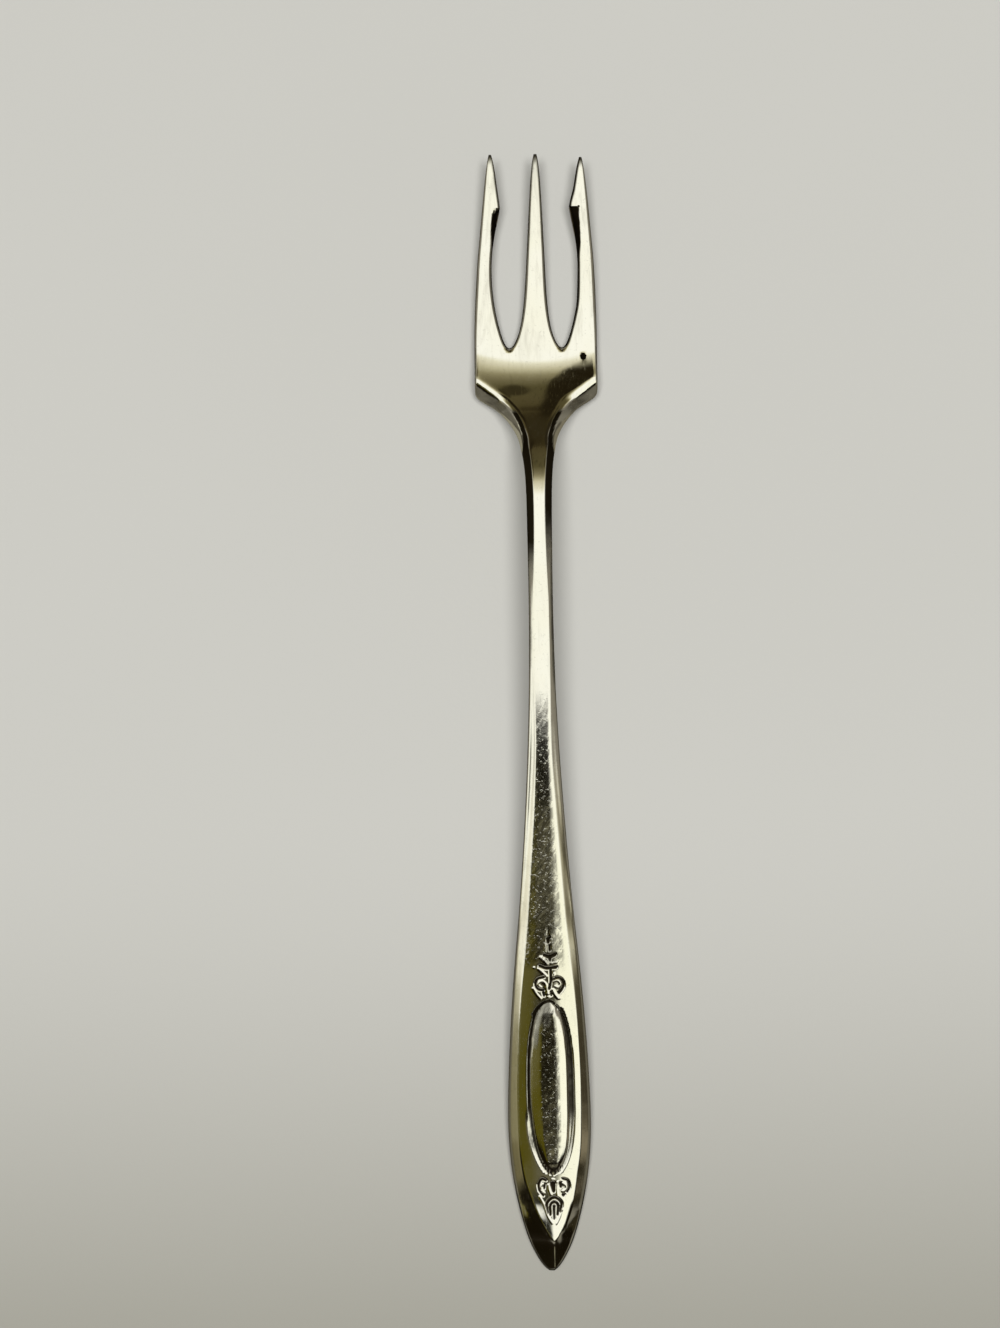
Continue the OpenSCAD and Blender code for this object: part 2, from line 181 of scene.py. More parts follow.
# the long curves, evened out so that reflections run along them without kinks
_fine = np.arange(0, LENGTH + 0.025, 0.05)


def evened(tab, sigma):
    """Values of a table on a fine row of places, averaged over a width sigma, in millimetres, that may vary."""
    y = curve(_fine, tab)
    out = np.zeros_like(y)
    sig = np.broadcast_to(sigma, y.shape)
    for i, v in enumerate(_fine):
        s = max(sig[i], 0.02)
        reach = int(3 * s / 0.05) + 1
        reach = min(reach, i, len(y) - 1 - i)   # even on both sides, so the ends stay
        k = np.arange(-reach, reach + 1)
        w = np.exp(-0.5 * (k * 0.05 / s) ** 2)
        out[i] = (w * y[i - reach:i + reach + 1]).sum() / w.sum()
    return out


_width = evened(WIDTH, np.interp(_fine, [0, 3, 10, 108, 113, 121], [0.05, 0.3, 1.5, 1.5, 0.35, 0.25]))
_under = evened(UNDER, np.interp(_fine, [0, 6, 14, 118, 121, 126, 132], [0.3, 1, 3, 2.2, 1.2, 1.2, 3]))
_thick = evened(THICK, 2.5)
_crest = evened(CREST, np.interp(_fine, [0, 4, 9, 36, 60, 127], [0.1, 0.25, 1.2, 1.5, 3, 2]))
_bevel = evened(BEVEL_SLOPE, np.interp(_fine, [0, 10, 40, 90, 115, 127], [0.5, 2, 3, 4, 1, 1]))
_crown = evened(CROWN, np.interp(_fine, [0, 10, 40, 90, 115, 127], [0.5, 1.5, 3, 4, 1, 1]))
_dish = evened(DISH, 0.8)
_bend = evened(BEND, 2.5)


def at(values, v):
    return np.interp(v, _fine, values)


# --- the outline, for distances to the nearest edge ---------------------------------------------------------------

def tine_v(q, side=0):
    """Place along the fork; the right tine is worn a little shorter than the others."""
    short = 0.5 * smooth(QB, 1, q) if side > 0 else 0
    return CROTCH + (TINE - short) * q * q


def outline():
    v = np.unique(np.concatenate((np.linspace(0, 3, 300), np.linspace(3, 112, 2200), np.linspace(112, CROTCH, 700))))
    w = at(_width, v)
    q = np.linspace(0, 1, 1500)
    x0 = np.linspace(-at(_width, 0), at(_width, 0), 15)
    pts = [np.c_[w, v], np.c_[-w, v], np.c_[x0, 0 * x0]]
    for side in (-1, 1):
        pts += [np.c_[side * outer(q), tine_v(q, side)], np.c_[side * inner(q, side), tine_v(q, side)],
                np.c_[side * middle(q), tine_v(q)]]
        pts.append(np.c_[side * np.linspace(6.0, 6.34, 8), np.full(8, tine_v(1, side))])
    pts.append(np.c_[np.linspace(-0.2, 0.2, 8), np.full(8, LENGTH)])
    return np.vstack(pts)


_outline = outline()
_tree = KDTree(len(_outline))
for _i, _p in enumerate(_outline):
    _tree.insert((_p[0], _p[1], 0), _i)
_tree.balance()


def flank_line():
    """The sides of the neck and the shoulders, carried on straight past the corners."""
    w0, w1 = at(_width, 119.25), at(_width, 119.75)
    step = np.array([w1 - w0, 0.5]) / math.hypot(w1 - w0, 0.5)
    run = np.array([w1, 119.75]) + np.linspace(0, 4, 120)[:, None] * step
    return np.vstack((_outline[(_outline[:, 1] > 109) & (_outline[:, 1] < 119.75)], run, run * (-1, 1)))


_side = flank_line()
_flank_tree = KDTree(len(_side))
for _i, _p in enumerate(_side):
    _flank_tree.insert((_p[0], _p[1], 0), _i)
_flank_tree.balance()


def flank_drop(x, v):
    """How far the slanted side lies under the upper face; along the shoulders a narrow bevel runs beside it."""
    out = np.zeros_like(x)
    m = (v > 108) & (v < 125)
    d = np.array([_flank_tree.find((a, b, 0))[2] for a, b in zip(x[m], v[m])])
    if d.size:
        right = smooth(-1, 1, x[m])
        begin = curve(v[m], FLANK) - (0.05 + 0.07 * right) * smooth(116, 118, v[m])
        strip = curve(v[m], STRIP) + 0.14 * right * smooth(118, 120, v[m])
        slope = curve(v[m], STRIP_SLOPE)
        s = smooth(112.4, 114.4, v[m])
        shoulder = slope * hinge(begin + strip - d, 0.14) + (1.22 - slope) * hinge(begin - d, 0.09)
        out[m] = (1 - s) * 1.3 * hinge(begin - d, 0.07) + s * shoulder
    return out


def flank_painted_shade(x, v):
    """Painted shade on the bevels of the neck and the stem's upper end, and less on the slanted sides of the
    shoulders: a dark film standing in for the dark reflections there.
    """
    out = np.zeros_like(x)
    m = (v > 93) & (v < 123)
    d = np.array([_flank_tree.find((a, b, 0))[2] for a, b in zip(x[m], v[m])])
    if d.size:
        vm, xm = v[m], np.abs(x[m])
        right = smooth(-1, 1, x[m])
        begin = curve(vm, FLANK) - (0.05 + 0.07 * right) * smooth(116, 118, vm)
        side = begin + curve(vm, STRIP)
        s = smooth(112.4, 114.4, vm)
        crest = at(_crest, vm)
        bevel = (1 - s) * smooth(crest - 0.02, crest + 0.1, xm) + s * smooth(side, side - 0.2, d)
        clear = np.where(vm > 109, smooth(begin - 0.1, begin + 0.05, d), 1.0)
        bevel = bevel * clear * smooth(90 - 2 * right, 103 + 6 * right, vm) * smooth(118.8, 117.3, vm)
        wall = smooth(begin + 0.05, begin - 0.1, d) * smooth(116.2, 118.2, vm) * smooth(122.4, 121.6, vm)
        out[m] = np.maximum(0.95 * bevel, 0.4 * wall)
    return out


def edge_distance(x, v):
    return np.array([_tree.find((a, b, 0))[2] for a, b in zip(x.ravel(), v.ravel())]).reshape(x.shape)


# --- ornament -------------------------------------------------------------------------------------------------------

OVAL_V, OVAL_LONG, OVAL_HALF = 25.3, 12.1, 3.2
OVAL = [
    (0, 1), (0.25, 0.983), (0.5, 0.905), (0.63, 0.825), (0.74, 0.72), (0.8, 0.64), (0.876, 0.5), (0.92, 0.38), (0.96, 0.23),
    (1, 0.03),
]
# its upper end is blunter
OVAL_TOP = [
    (0, 1), (0.25, 0.984), (0.5, 0.912), (0.63, 0.842), (0.74, 0.752), (0.8, 0.69), (0.86, 0.605), (0.92, 0.45), (0.96, 0.29),
    (1, 0.04),
]
# height across the medallion: the worn middle, the slope, the groove, and then the flat of the handle
MEDAL = [
    (0, 0.25), (0.7, 0.25), (1.15, 0.248), (1.4, 0.238), (1.7, 0.18), (2.2, 0.065), (2.45, 0.01), (2.65, -0.12), (2.95, -0.2),
    (3.25, -0.17), (3.4, -0.03), (3.5, 0), (9, 0),
]
MEDAL_LEFT = [
    (0, 0.25), (0.7, 0.249), (1.1, 0.24), (1.5, 0.185), (2.1, 0.065), (2.35, 0.01), (2.6, -0.1), (2.8, -0.16), (2.95, -0.03),
    (3.05, 0), (9, 0),
]
MEDAL_LOW = [
    (0, 0.25), (0.7, 0.25), (1.15, 0.248), (1.4, 0.238), (1.7, 0.18), (2.2, 0.065), (2.45, 0.01), (2.65, -0.12), (2.9, -0.19),
    (3.15, -0.15), (3.4, -0.03), (3.65, 0), (9, 0),
]


def medallion(x, v):
    """Height, how much it lies in a groove, and how much it lies in the worn middle."""
    x = x - 0.36 * smooth(26, 13, v)
    tau = np.abs(v - OVAL_V) / OVAL_LONG
    t1 = np.minimum(tau, 1)
    h = np.where(tau < 1, np.where(v > OVAL_V, curve(t1, OVAL_TOP), curve(t1, OVAL)), 0.04)
    r = np.abs(x) / np.maximum(h, 0.04)
    inside = smooth(1.03, 0.97, tau)
    end = smooth(1.0, 0.85, tau)
    low = smooth(23, 18, v)
    r9 = np.minimum(r, 9)
    z = np.where(x < 0, curve(r9, MEDAL_LEFT), curve(r9, MEDAL)) * (1 - low) + curve(r9, MEDAL_LOW) * low
    z = np.where(z > 0, z * end, z) * inside
    high = smooth(19, 23, v)
    groove = 0.85 * smooth(2.45, 2.7, r) * smooth(3.55, 3.35, r) * inside * (x >= 0) * (0.5 + 0.5 * high)
    # on the left the groove is narrow and holds more, except low down, and the slope beside it is dull
    groove = np.maximum(groove, smooth(2.52, 2.68, r) * smooth(3.14, 3.04, r) * inside * (x < 0) * high)
    groove = np.maximum(groove, 0.8 * smooth(2.4, 2.6, r) * smooth(3.1, 2.9, r) * inside * (x < 0))
    groove = np.maximum(groove, 0.5 * smooth(1.4, 1.6, r) * smooth(2.6, 2.4, r) * inside * (x < 0) * smooth(29.5, 32, v))
    groove = np.maximum(groove, 0.6 * smooth(33, 34.6, v) * smooth(0.75, 0.15, x) * smooth(2.6, 2.4, r) * inside)
    # the groove's outer side is dull at the lower left, down to where it turns in
    groove = np.maximum(groove, 0.55 * smooth(2.9, 3.1, r) * smooth(3.75, 3.5, r) * inside * (x < 0) * low * smooth(15.6, 17.4, v))
    worn = 0.6 * np.where(x < 0, smooth(1.45, 1.05, r), smooth(1.6, 1.35, r)) * smooth(0.98, 0.9, tau)
    return z, groove, worn


def bent(*pts, n=8):
    """A smooth line through a few points."""
    p = np.array(pts, float)
    if len(p) < 3:
        return p
    q = np.vstack((2 * p[0] - p[1], p, 2 * p[-1] - p[-2]))
    t = np.linspace(0, 1, n, endpoint=False)[:, None]
    out = [0.5 * (2 * b + (c - a) * t + (2 * a - 5 * b + 4 * c - d) * t**2 + (3 * b - a - 3 * c + d) * t**3)
           for a, b, c, d in zip(q[:-3], q[1:-2], q[2:-1], q[3:])]
    return np.vstack(out + [p[-1:]])


# The struck ornament: husks over a pair of volutes, and volutes over a shell at the point. A raised line is its
# points and its half-width at both ends; a sunk one is the same, and holds dark tarnish.
RAISED = [
    # husks, from the top down
    (bent((-0.2, 45.3), (-0.22, 44.15)), 0.09, 0.13),
    (bent((-0.9, 43.5), (-0.45, 43.1), (0.02, 42.55)), 0.2, 0.17),
    (bent((0.7, 42.6), (1.25, 42.75)), 0.12, 0.15),
    (bent((-1.15, 41.9), (-0.65, 41.45), (-0.1, 40.85)), 0.2, 0.2),
    (bent((0.95, 41.2), (0.9, 40.75)), 0.12, 0.14),
    # volutes
    (bent((-0.9, 39.35), (-1.2, 39.6), (-1.1, 40), (-0.65, 40.15), (-0.24, 39.8), (-0.1, 39.2), (0.02, 38.6)), 0.15, 0.13),
    (bent((0.86, 40.15), (1.4, 40.25), (1.8, 39.8), (1.55, 39.3), (1.1, 39.45)), 0.14, 0.16),
    # leaves and a bead under them
    (bent((-1.95, 39.2), (-1.5, 38.45), (-0.95, 37.8)), 0.15, 0.18),
    (bent((0.7, 39), (1.05, 38.35), (1.5, 37.8)), 0.15, 0.2),
    (bent((0.05, 38.5), (0.09, 38.45)), 0.2, 0.2),
    (bent((0.1, 38.05), (0.12, 37.95)), 0.14, 0.14),
    (bent((-1.8, 42.05), (-1.77, 42.05)), 0.13, 0.13),
    # lower volutes
    (bent((-1, 12.15), (-1.3, 11.75), (-1.25, 11.15), (-0.9, 10.9)), 0.12, 0.12),
    (bent((1.7, 12.2), (2.15, 11.85), (2.1, 11.35), (1.65, 11.1)), 0.15, 0.16),
    # round the drop between them
    (bent((-0.3, 12), (-0.25, 11.4), (0.03, 10.65)), 0.12, 0.14),
    (bent((0.97, 12.4), (0.85, 11.4), (0.95, 10.4)), 0.12, 0.12),
    (bent((0.25, 12.75), (0.4, 12.75)), 0.13, 0.13),
    # beside and under the shell
    (bent((-1.55, 10.4), (-0.95, 9.25), (-0.45, 7.7), (0.15, 6.7)), 0.1, 0.13),
    (bent((1.55, 8.6), (1.2, 7.5), (0.75, 6.6)), 0.1, 0.1),
]
SUNK = [
    (bent((0.18, 45.85), (0.18, 45.55)), 0.22, 0.22),
    (bent((0.35, 45.1), (0.38, 44.4)), 0.13, 0.15),
    (bent((-0.4, 43.75), (0.3, 43.5), (1.05, 43.8)), 0.2, 0.24),
    (bent((0.35, 43.5), (0.4, 42.95)), 0.3, 0.12),
    (bent((-1.05, 42.3), (-0.15, 41.95), (1.2, 42.05)), 0.17, 0.19),
    (bent((0.45, 41.9), (0.45, 40.1), (0.25, 39.1)), 0.17, 0.16),
    (bent((-0.4, 40.75), (-1.3, 40.5), (-1.65, 39.75), (-1.35, 39.1), (-0.6, 38.9)), 0.14, 0.16),
    (bent((0.5, 40.2), (1.2, 40.65), (1.85, 40.4), (2.2, 39.65), (1.9, 38.95), (1.55, 38.55)), 0.12, 0.2),
    (bent((-0.62, 38.6), (-0.5, 38.15)), 0.16, 0.14),
    (bent((0.46, 38.7), (0.5, 38.2)), 0.13, 0.13),
    (bent((-0.65, 12.6), (-1.2, 12.8), (-1.65, 12.05), (-1.58, 11.3), (-1.05, 10.55)), 0.14, 0.15),
    (bent((-0.85, 12.1), (-0.9, 11.5)), 0.17, 0.12),
    (bent((0.3, 12.1), (0.34, 11.6), (0.4, 11.1)), 0.36, 0.2),
    (bent((1.35, 12.2), (1.4, 11.7)), 0.18, 0.16),
    (bent((1.65, 12.8), (2.3, 12.5), (2.55, 11.6), (2.25, 11)), 0.13, 0.14),
    (bent((1.8, 10.6), (1.7, 10.5)), 0.17, 0.17),
    # the shell: nested leaves
    (bent((-0.5, 8.2), (-0.55, 9.4), (0.4, 10.25), (1.4, 9.5), (1.3, 8.3)), 0.17, 0.17),
    (bent((-0.1, 7.9), (-0.1, 9.1), (0.42, 9.6), (0.95, 9.1), (0.9, 7.9)), 0.15, 0.15),
    (bent((0.4, 9), (0.42, 7.3)), 0.17, 0.1),
]


# tarnish alone, over the medallion's upper end
FILMED = [(bent((-2.0, 35.5), (-1.45, 36.4), (-0.65, 37.15), (0.3, 37.4), (0.9, 37.1)), 0.3, 0.14)]


def stroke_field(x, v, strokes):
    """How far a point is from the nearest line, less the line's half-width there, and its offset from the line."""
    best, ox, ov = np.full(x.shape, 9.0), np.zeros_like(x), np.zeros_like(x)
    for pts, w0, w1 in strokes:
        n = len(pts) - 1
        for i in range(n):
            a, b = pts[i], pts[i + 1]
            d = b - a
            t = np.clip(((x - a[0]) * d[0] + (v - a[1]) * d[1]) / max(d @ d, 1e-9), 0, 1)
            dx, dv = x - a[0] - t * d[0], v - a[1] - t * d[1]
            e = np.hypot(dx, dv) - (w0 + (w1 - w0) * (i + t) / n)
            near = e < best
            best, ox, ov = np.where(near, e, best), np.where(near, dx, ox), np.where(near, dv, ov)
    return best, ox, ov


def ornament(x, v):
    """Height of the struck ornament, and how much tarnish it holds."""
    z, dark = np.zeros_like(x), np.zeros_like(x)
    m = ((v > 34.5) & (v < 46.6) | (v > 6) & (v < 13.6)) & (np.abs(x) < 3)
    if m.any():
        low = stroke_field(x[m], v[m], SUNK)[0]
        up, dx, dv = stroke_field(x[m], v[m], RAISED)
        ridge = smooth(0.05, -0.09, up)
        deep = smooth(0.08, -0.08, low) * (1 - ridge)
        # the lines are struck with their faces turned up and to the right
        z[m] = 0.05 * ridge - 0.11 * deep - ridge * (0.13 * dx + 0.2 * dv)
        low = np.minimum(low, stroke_field(x[m], v[m], FILMED)[0])
        dark[m] = smooth(0.07, -0.05, low) * (1 - smooth(0.08, -0.02, up))
    return z, dark


# --- upper and lower faces ------------------------------------------------------------------------------------------

def top_body(x, v, dist):
    a = np.abs(x)
    crest = at(_crest, v)
    # the flat's point lies a little off the axis
    shift = 0.36 * smooth(14, 7, v)
    ax = np.hypot(x - shift, 0.22 * smooth(4.8, 3.6, v))
    t = ax / np.maximum(crest, 0.7)
    f = 0.6 * smooth(44, 50, v)
    drop = at(_crown, v) * np.where(t < 1, (1 - f) * t * t + f * t**4, np.minimum(1 + (2 + 2 * f) * (t - 1), 2.2))
    drop = drop + at(_bevel, v) * hinge(ax - crest, 0.045 + 0.16 * smooth(4.3, 2.8, v)) + flank_drop(x, v)
    tilt = 0.045 * smooth(10, 6.5, v) * np.clip(x - shift, -np.maximum(crest, 0), np.maximum(crest, 0))
    drop = drop - hollow(x, v) + 0.05 * smooth(15, 5, v) * (x - shift) + tilt
    mz, groove, worn = medallion(x, v)
    oz, dark = ornament(x, v)
    z = at(_under, v) + at(_thick, v) - drop + mz + oz - edge_drop(v, dist, x)
    # the flat is scuffed from its left crest to a little right of the axis, from the ornament to the stem
    scuffed = smooth(0.03, -0.1, -x - crest) * smooth(0.85, 0.62, x / np.maximum(crest, 0.5))
    scuffed = scuffed * smooth(41, 45, v) * smooth(80, 76, v) * (0.6 + 0.4 * smooth(64, 56, v))
    # real tarnish in the ornament's and the medallion's grooves, plus painted shade along the edges, the neck's bevels
    # and the stem's edges
    tarnish_and_painted_shade = np.maximum(dark, 0.9 * groove)
    tarnish_and_painted_shade = np.maximum(tarnish_and_painted_shade, edge_painted_shade(v, dist, 0.45))
    tarnish_and_painted_shade = np.maximum(np.maximum(tarnish_and_painted_shade, flank_painted_shade(x, v)), stem_edge_painted_shade(x, v, dist))
    return z, tarnish_and_painted_shade, np.maximum(worn, scuffed)


def hollow(x, v):
    return at(_dish, v) * np.minimum(np.abs(x) / HALF_HEAD, 1) ** 2


def edge_painted_shade(v, dist, much=0.3):
    """Painted shade along the edges of the head, the tines and the handle's point: a dark film standing in for the
    dark reflections there.
    """
    tip = 0.8 * smooth(15, 9, v) * smooth(0.3, 0.12, dist)
    return np.maximum(much * smooth(121.2, 122.4, v) * smooth(0.55, 0.12, dist), tip)


def stem_edge_painted_shade(x, v, dist):
    """Painted shade along the edges of the stem, darker on the right: a film standing in for the dark reflections
    there.
    """
    left = 0.42 * smooth(79, 85, v) * smooth(0.62, 0.25, dist)
    right = 0.56 * smooth(76, 83, v) * smooth(0.5, 0.25, dist)
    return np.where(x < 0, left, right) * smooth(101, 97, v)


def edge_drop(v, dist, x=0.0):
    """How far the rounded edge lies under the face; the right edge of the stem is rounder than the left."""
    e, d = curve(v, EDGE_IN), curve(v, EDGE_DOWN)
    more = smooth(50, 60, v) * smooth(96, 88, v) * (np.asarray(x) > 0)
    e, d = e + 0.5 * more, d + 0.13 * more
    u = np.clip(1 - dist / e, 0, 1)
    return d * (1 - np.sqrt(np.maximum(1 - u * u, 0)))


def facet(side, v):
    """Width of the filed facet under a barb, at v. The left one is the smaller."""
    vb = tine_v(QB, side)
    if side < 0:
        return np.interp(v, [vb - 5.8, vb - 3.2, vb - 0.6, vb], [0, 0.65, 1.0, 1.05])
    return np.interp(v, [vb - 7.6, vb - 5.2, vb], [0, 0.6, 1.35])


def top_tine(side, x, v, dist, q):
    """Height, and how much painted shade it gets along its edges and on the facet under a barb."""
    z = at(_under, v) + at(_thick, v) + hollow(x, v) - edge_drop(v, dist)
    # painted shade along the tine's edges, heavier on the inner edges that face the gaps
    film = edge_painted_shade(v, dist, 0.8 if side else 0.5)
    if side:
        din = np.abs(x) - inner(q, side)
        film = np.where(din < outer(q) - np.abs(x), film * (1 if side > 0 else 0.7), edge_painted_shade(v, dist, 0.2))
        slant = 0.9 if side < 0 else 0.05                # the left cut runs out on a slant, the right one square
        cut = smooth(0.0, 0.05, tine_v(QB, side) + 0.02 - slant * din - v)
        f = facet(side, v)
        slope = np.minimum(1.0, 0.75 * at(_thick, v) / np.maximum(f, 0.1))
        z = z - cut * slope * hinge(f - din, 0.02)
        # painted shade on the filed facet under the barb, where the notch lies in shade
        film = np.maximum(film, 0.9 * cut * smooth(-0.02, 0.06, f - din))
    return z, film


def under_face(x, v, dist):
    w = np.maximum(at(_width, v), 0.3)
    e = np.minimum(curve(v, EDGE_IN), 0.7)
    u = np.clip(1 - dist / e, 0, 1)
    rise = curve(v, EDGE_DOWN) * 0.8 * (1 - np.sqrt(np.maximum(1 - u * u, 0)))
    belly = curve(np.minimum(v, 127), BELLY) * np.minimum(np.abs(x) / w, 1) ** 2 * smooth(140, 126, v)
    return at(_under, v) + rise + belly


# ---------------------------------------------------------------------------------------------------------------
# The surface as one grid: rows along the fork, and a closed ring of points in each row.
# ---------------------------------------------------------------------------------------------------------------

TOP_COLS = (18, 12, 5, 4)       # from the axis to about half-way, the crest, the rounded edge, the edge
LOW_COLS = (3, 2, 2, 3)
WALL = 2


def side_places(cols, v):
    """Places of the columns from the axis to the right edge, for each row: rows by columns."""
    w, crest = at(_width, v), at(_crest, v)
    slope = np.gradient(w, v)
    e = np.minimum(curve(v, EDGE_IN) * np.sqrt(1 + np.minimum(slope, 3) ** 2), 0.3 * w)
    c = np.clip(crest, 0.4 * w, w - e - 0.03 * w)
    head = smooth(113, 119, v)
    c = c + head * ((w - e) * 0.9 - c)
    s = 0.54 * c
    s = s + head * (0.43 * w - s)
    c = np.maximum(c, s + 0.2 * (w - e - s))
    stops = [0 * w, s, c, w - e, w]
    parts = []
    for k, n in enumerate(cols):
        t = np.arange(n) / n
        if k == 3:
            t = np.sin(t * math.pi / 2)                   # closer together towards the edge
        parts.append(stops[k][:, None] + (stops[k + 1] - stops[k])[:, None] * t)
    return np.hstack(parts + [w[:, None]])


def ring_rows():
    steps = [(0, 4, 0.2), (4, 13.5, 0.105), (13.5, 36.5, 0.42), (36.5, 46, 0.105), (46, 78, 0.8), (78, 108, 1.0),
             (108, 116, 0.4),
             (116, 122.6, 0.17), (122.6, CROTCH, 0.42)]
    out = [np.array([0, 0.04, 0.1])]
    for lo, hi, d in steps:
        n = int(round((hi - lo) / d))
        out.append(lo + (hi - lo) * np.arange(0 if lo else 1, n) / n)
    return np.unique(np.concatenate(out + [[CROTCH]]))


points, tarnish_and_painted_shade, worn = [], [], []
count = 0


def add(x, v, z, t=None, m=None):
    """Adds points and returns their numbers, in the shape of x."""
    global count
    n = x.size
    points.append(np.c_[x.ravel(), v.ravel() - LENGTH / 2, z.ravel()])
    tarnish_and_painted_shade.append(np.zeros(n) if t is None else t.ravel())
    worn.append(np.zeros(n) if m is None else m.ravel())
    numbers = np.arange(count, count + n).reshape(x.shape)
    count += n
    return numbers


def wall(top_x, top_z, low_x, low_z, v):
    """Points between the upper and the lower edge of a row, not counting the edges: rows by WALL."""
    t = (np.arange(WALL) + 1) / (WALL + 1)
    x = top_x[:, None] + (low_x - top_x)[:, None] * t
    z = top_z[:, None] + (low_z - top_z)[:, None] * t
    return x, np.repeat(v[:, None], WALL, 1), z


rows = ring_rows()
right_top, right_low = side_places(TOP_COLS, rows), side_places(LOW_COLS, rows)
X = np.hstack((-right_top[:, :0:-1], right_top))          # left edge to right edge
V = np.repeat(rows[:, None], X.shape[1], 1)
top_dist = edge_distance(X, V)
top_dist[:, [0, -1]] = 0
Z, T, M = top_body(X, V, top_dist)
XL = np.hstack((-right_low[:, :0:-1], right_low))
VL = np.repeat(rows[:, None], XL.shape[1], 1)
low_dist = edge_distance(XL, VL)
low_dist[:, [0, -1]] = 0
ZL = np.maximum(under_face(XL, VL, low_dist), 0)
gap = 0.12
Z[:, 0], Z[:, -1] = np.maximum(Z[:, 0], ZL[:, 0] + gap), np.maximum(Z[:, -1], ZL[:, -1] + gap)
body_top, body_low = add(X, V, Z, T, M), add(XL, VL, ZL)
left_wall = add(*wall(X[:, 0], Z[:, 0], XL[:, 0], ZL[:, 0], rows))
right_wall = add(*wall(X[:, -1], Z[:, -1], XL[:, -1], ZL[:, -1], rows))
# a ring runs over the top from left to right, down the right wall, back under, and up the left wall
body_rings = np.hstack((body_top, right_wall, body_low[:, ::-1], left_wall[:, ::-1]))

faces = []


def loft(rings):
    a, b = rings[:-1], rings[1:]
    a2, b2 = np.roll(a, -1, 1), np.roll(b, -1, 1)
    faces.append(np.stack((a, a2, b2, b), -1).reshape(-1, 4))


def cap(ring, turn):
    """Closes a ring with a fan about its middle."""
    p = np.vstack(points)
    mid = p[ring].mean(0)
    k = add(np.array([mid[0]]), np.array([mid[1] + LENGTH / 2]), np.array([mid[2]]))[0]
    nxt = np.roll(ring, -1)
    tri = np.stack((np.full(len(ring), k), ring, nxt, nxt), -1) if turn else np.stack((np.full(len(ring), k), nxt, ring, ring), -1)
    faces.append(tri)


loft(body_rings)
cap(body_rings[0], False)

# the tines, which go on from the last row of the body
nt, nl = len(X[0]), len(XL[0])
ct, cl = TOP_COLS[0], LOW_COLS[0]
crotch_wall = {}
for side in (-1, 1):
    jt, jl = (nt - 1) // 2 + side * ct, (nl - 1) // 2 + side * cl
    x, v, z = wall(X[-1:, jt], Z[-1:, jt], XL[-1:, jl], ZL[-1:, jl], rows[-1:])
    crotch_wall[side] = add(x, v, z)[0]

q1 = np.sqrt(np.linspace(0, QB**2, 44))                    # even steps along the tine, closer at the gap's end
q1 = np.unique(np.concatenate((np.array([0.03, 0.06, 0.09, 0.12, 0.15]), q1[1:])))
qs = np.concatenate((q1[:-1], [QB - 0.0016, QB + 0.0003], np.sqrt(np.linspace(QB**2 + 0.006, 1, 20)), ))
for side in (-1, 0, 1):
    if side == 0:
        t_cols, l_cols = slice((nt - 1) // 2 - ct, (nt - 1) // 2 + ct + 1), slice((nl - 1) // 2 - cl, (nl - 1) // 2 + cl + 1)
        lo, hi = -middle(qs), middle(qs)
    elif side < 0:
        t_cols, l_cols = slice(0, (nt - 1) // 2 - ct + 1), slice(0, (nl - 1) // 2 - cl + 1)
        lo, hi = -outer(qs), -inner(qs)
    else:
        t_cols, l_cols = slice((nt - 1) // 2 + ct, nt), slice((nl - 1) // 2 + cl, nl)
        lo, hi = inner(qs, 1), outer(qs)

    def places(x0):
        f0 = (x0 - x0[0]) / (x0[-1] - x0[0])
        n = len(x0)
        u = np.arange(n) / (n - 1)
        f1 = 0.35 * u + 0.65 * (0.5 - 0.5 * np.cos(math.pi * u))
        s = smooth(0, 0.4, qs)[:, None]
        f = f0 * (1 - s) + f1 * s
        return lo[:, None] + (hi - lo)[:, None] * f

    tx, lx = places(X[-1, t_cols]), places(XL[-1, l_cols])
    vv = tine_v(qs, side)
    tv, lv = np.repeat(vv[:, None], tx.shape[1], 1), np.repeat(vv[:, None], lx.shape[1], 1)
    qq = np.repeat(qs[:, None], tx.shape[1], 1)
    td, ld = edge_distance(tx, tv), edge_distance(lx, lv)
    td[:, [0, -1]] = 0
    ld[:, [0, -1]] = 0
    tz, film = top_tine(side, tx, tv, td, qq)
    lz = np.maximum(under_face(lx, lv, ld), 0)
    for j in (0, -1):
        tz[:, j] = np.maximum(tz[:, j], lz[:, j] + gap * 0.8)
    # painted shade: each tine darkens over its last two millimetres towards the tip
    film = np.maximum(film, 0.7 * smooth(2.2, 0.2, vv[-1] - tv))
    tn, ln = add(tx, tv, tz, film), add(lx, lv, lz)
    # painted shade on the tines' side walls
    wall_painted_shade = np.full((len(vv), WALL), 0.6)
    lw = add(*wall(tx[:, 0], tz[:, 0], lx[:, 0], lz[:, 0], vv), wall_painted_shade)
    rw = add(*wall(tx[:, -1], tz[:, -1], lx[:, -1], lz[:, -1], vv), wall_painted_shade)
    rings = np.hstack((tn, rw, ln[:, ::-1], lw[:, ::-1]))
    first_l = left_wall[-1] if side < 0 else crotch_wall[-1] if side == 0 else crotch_wall[1]
    first_r = crotch_wall[-1] if side < 0 else crotch_wall[1] if side == 0 else right_wall[-1]
    first = np.concatenate((body_top[-1, t_cols], first_r, body_low[-1, l_cols][::-1], first_l[::-1]))
    loft(np.vstack((first, rings)))
    cap(rings[-1], True)

P = np.vstack(points)
P[:, 0] += at(_bend, P[:, 1] + LENGTH / 2)
TARNISH_AND_PAINTED_SHADE, WORN = np.concatenate(tarnish_and_painted_shade), np.concatenate(worn)
F = np.vstack(faces)
is_tri = F[:, 2] == F[:, 3]


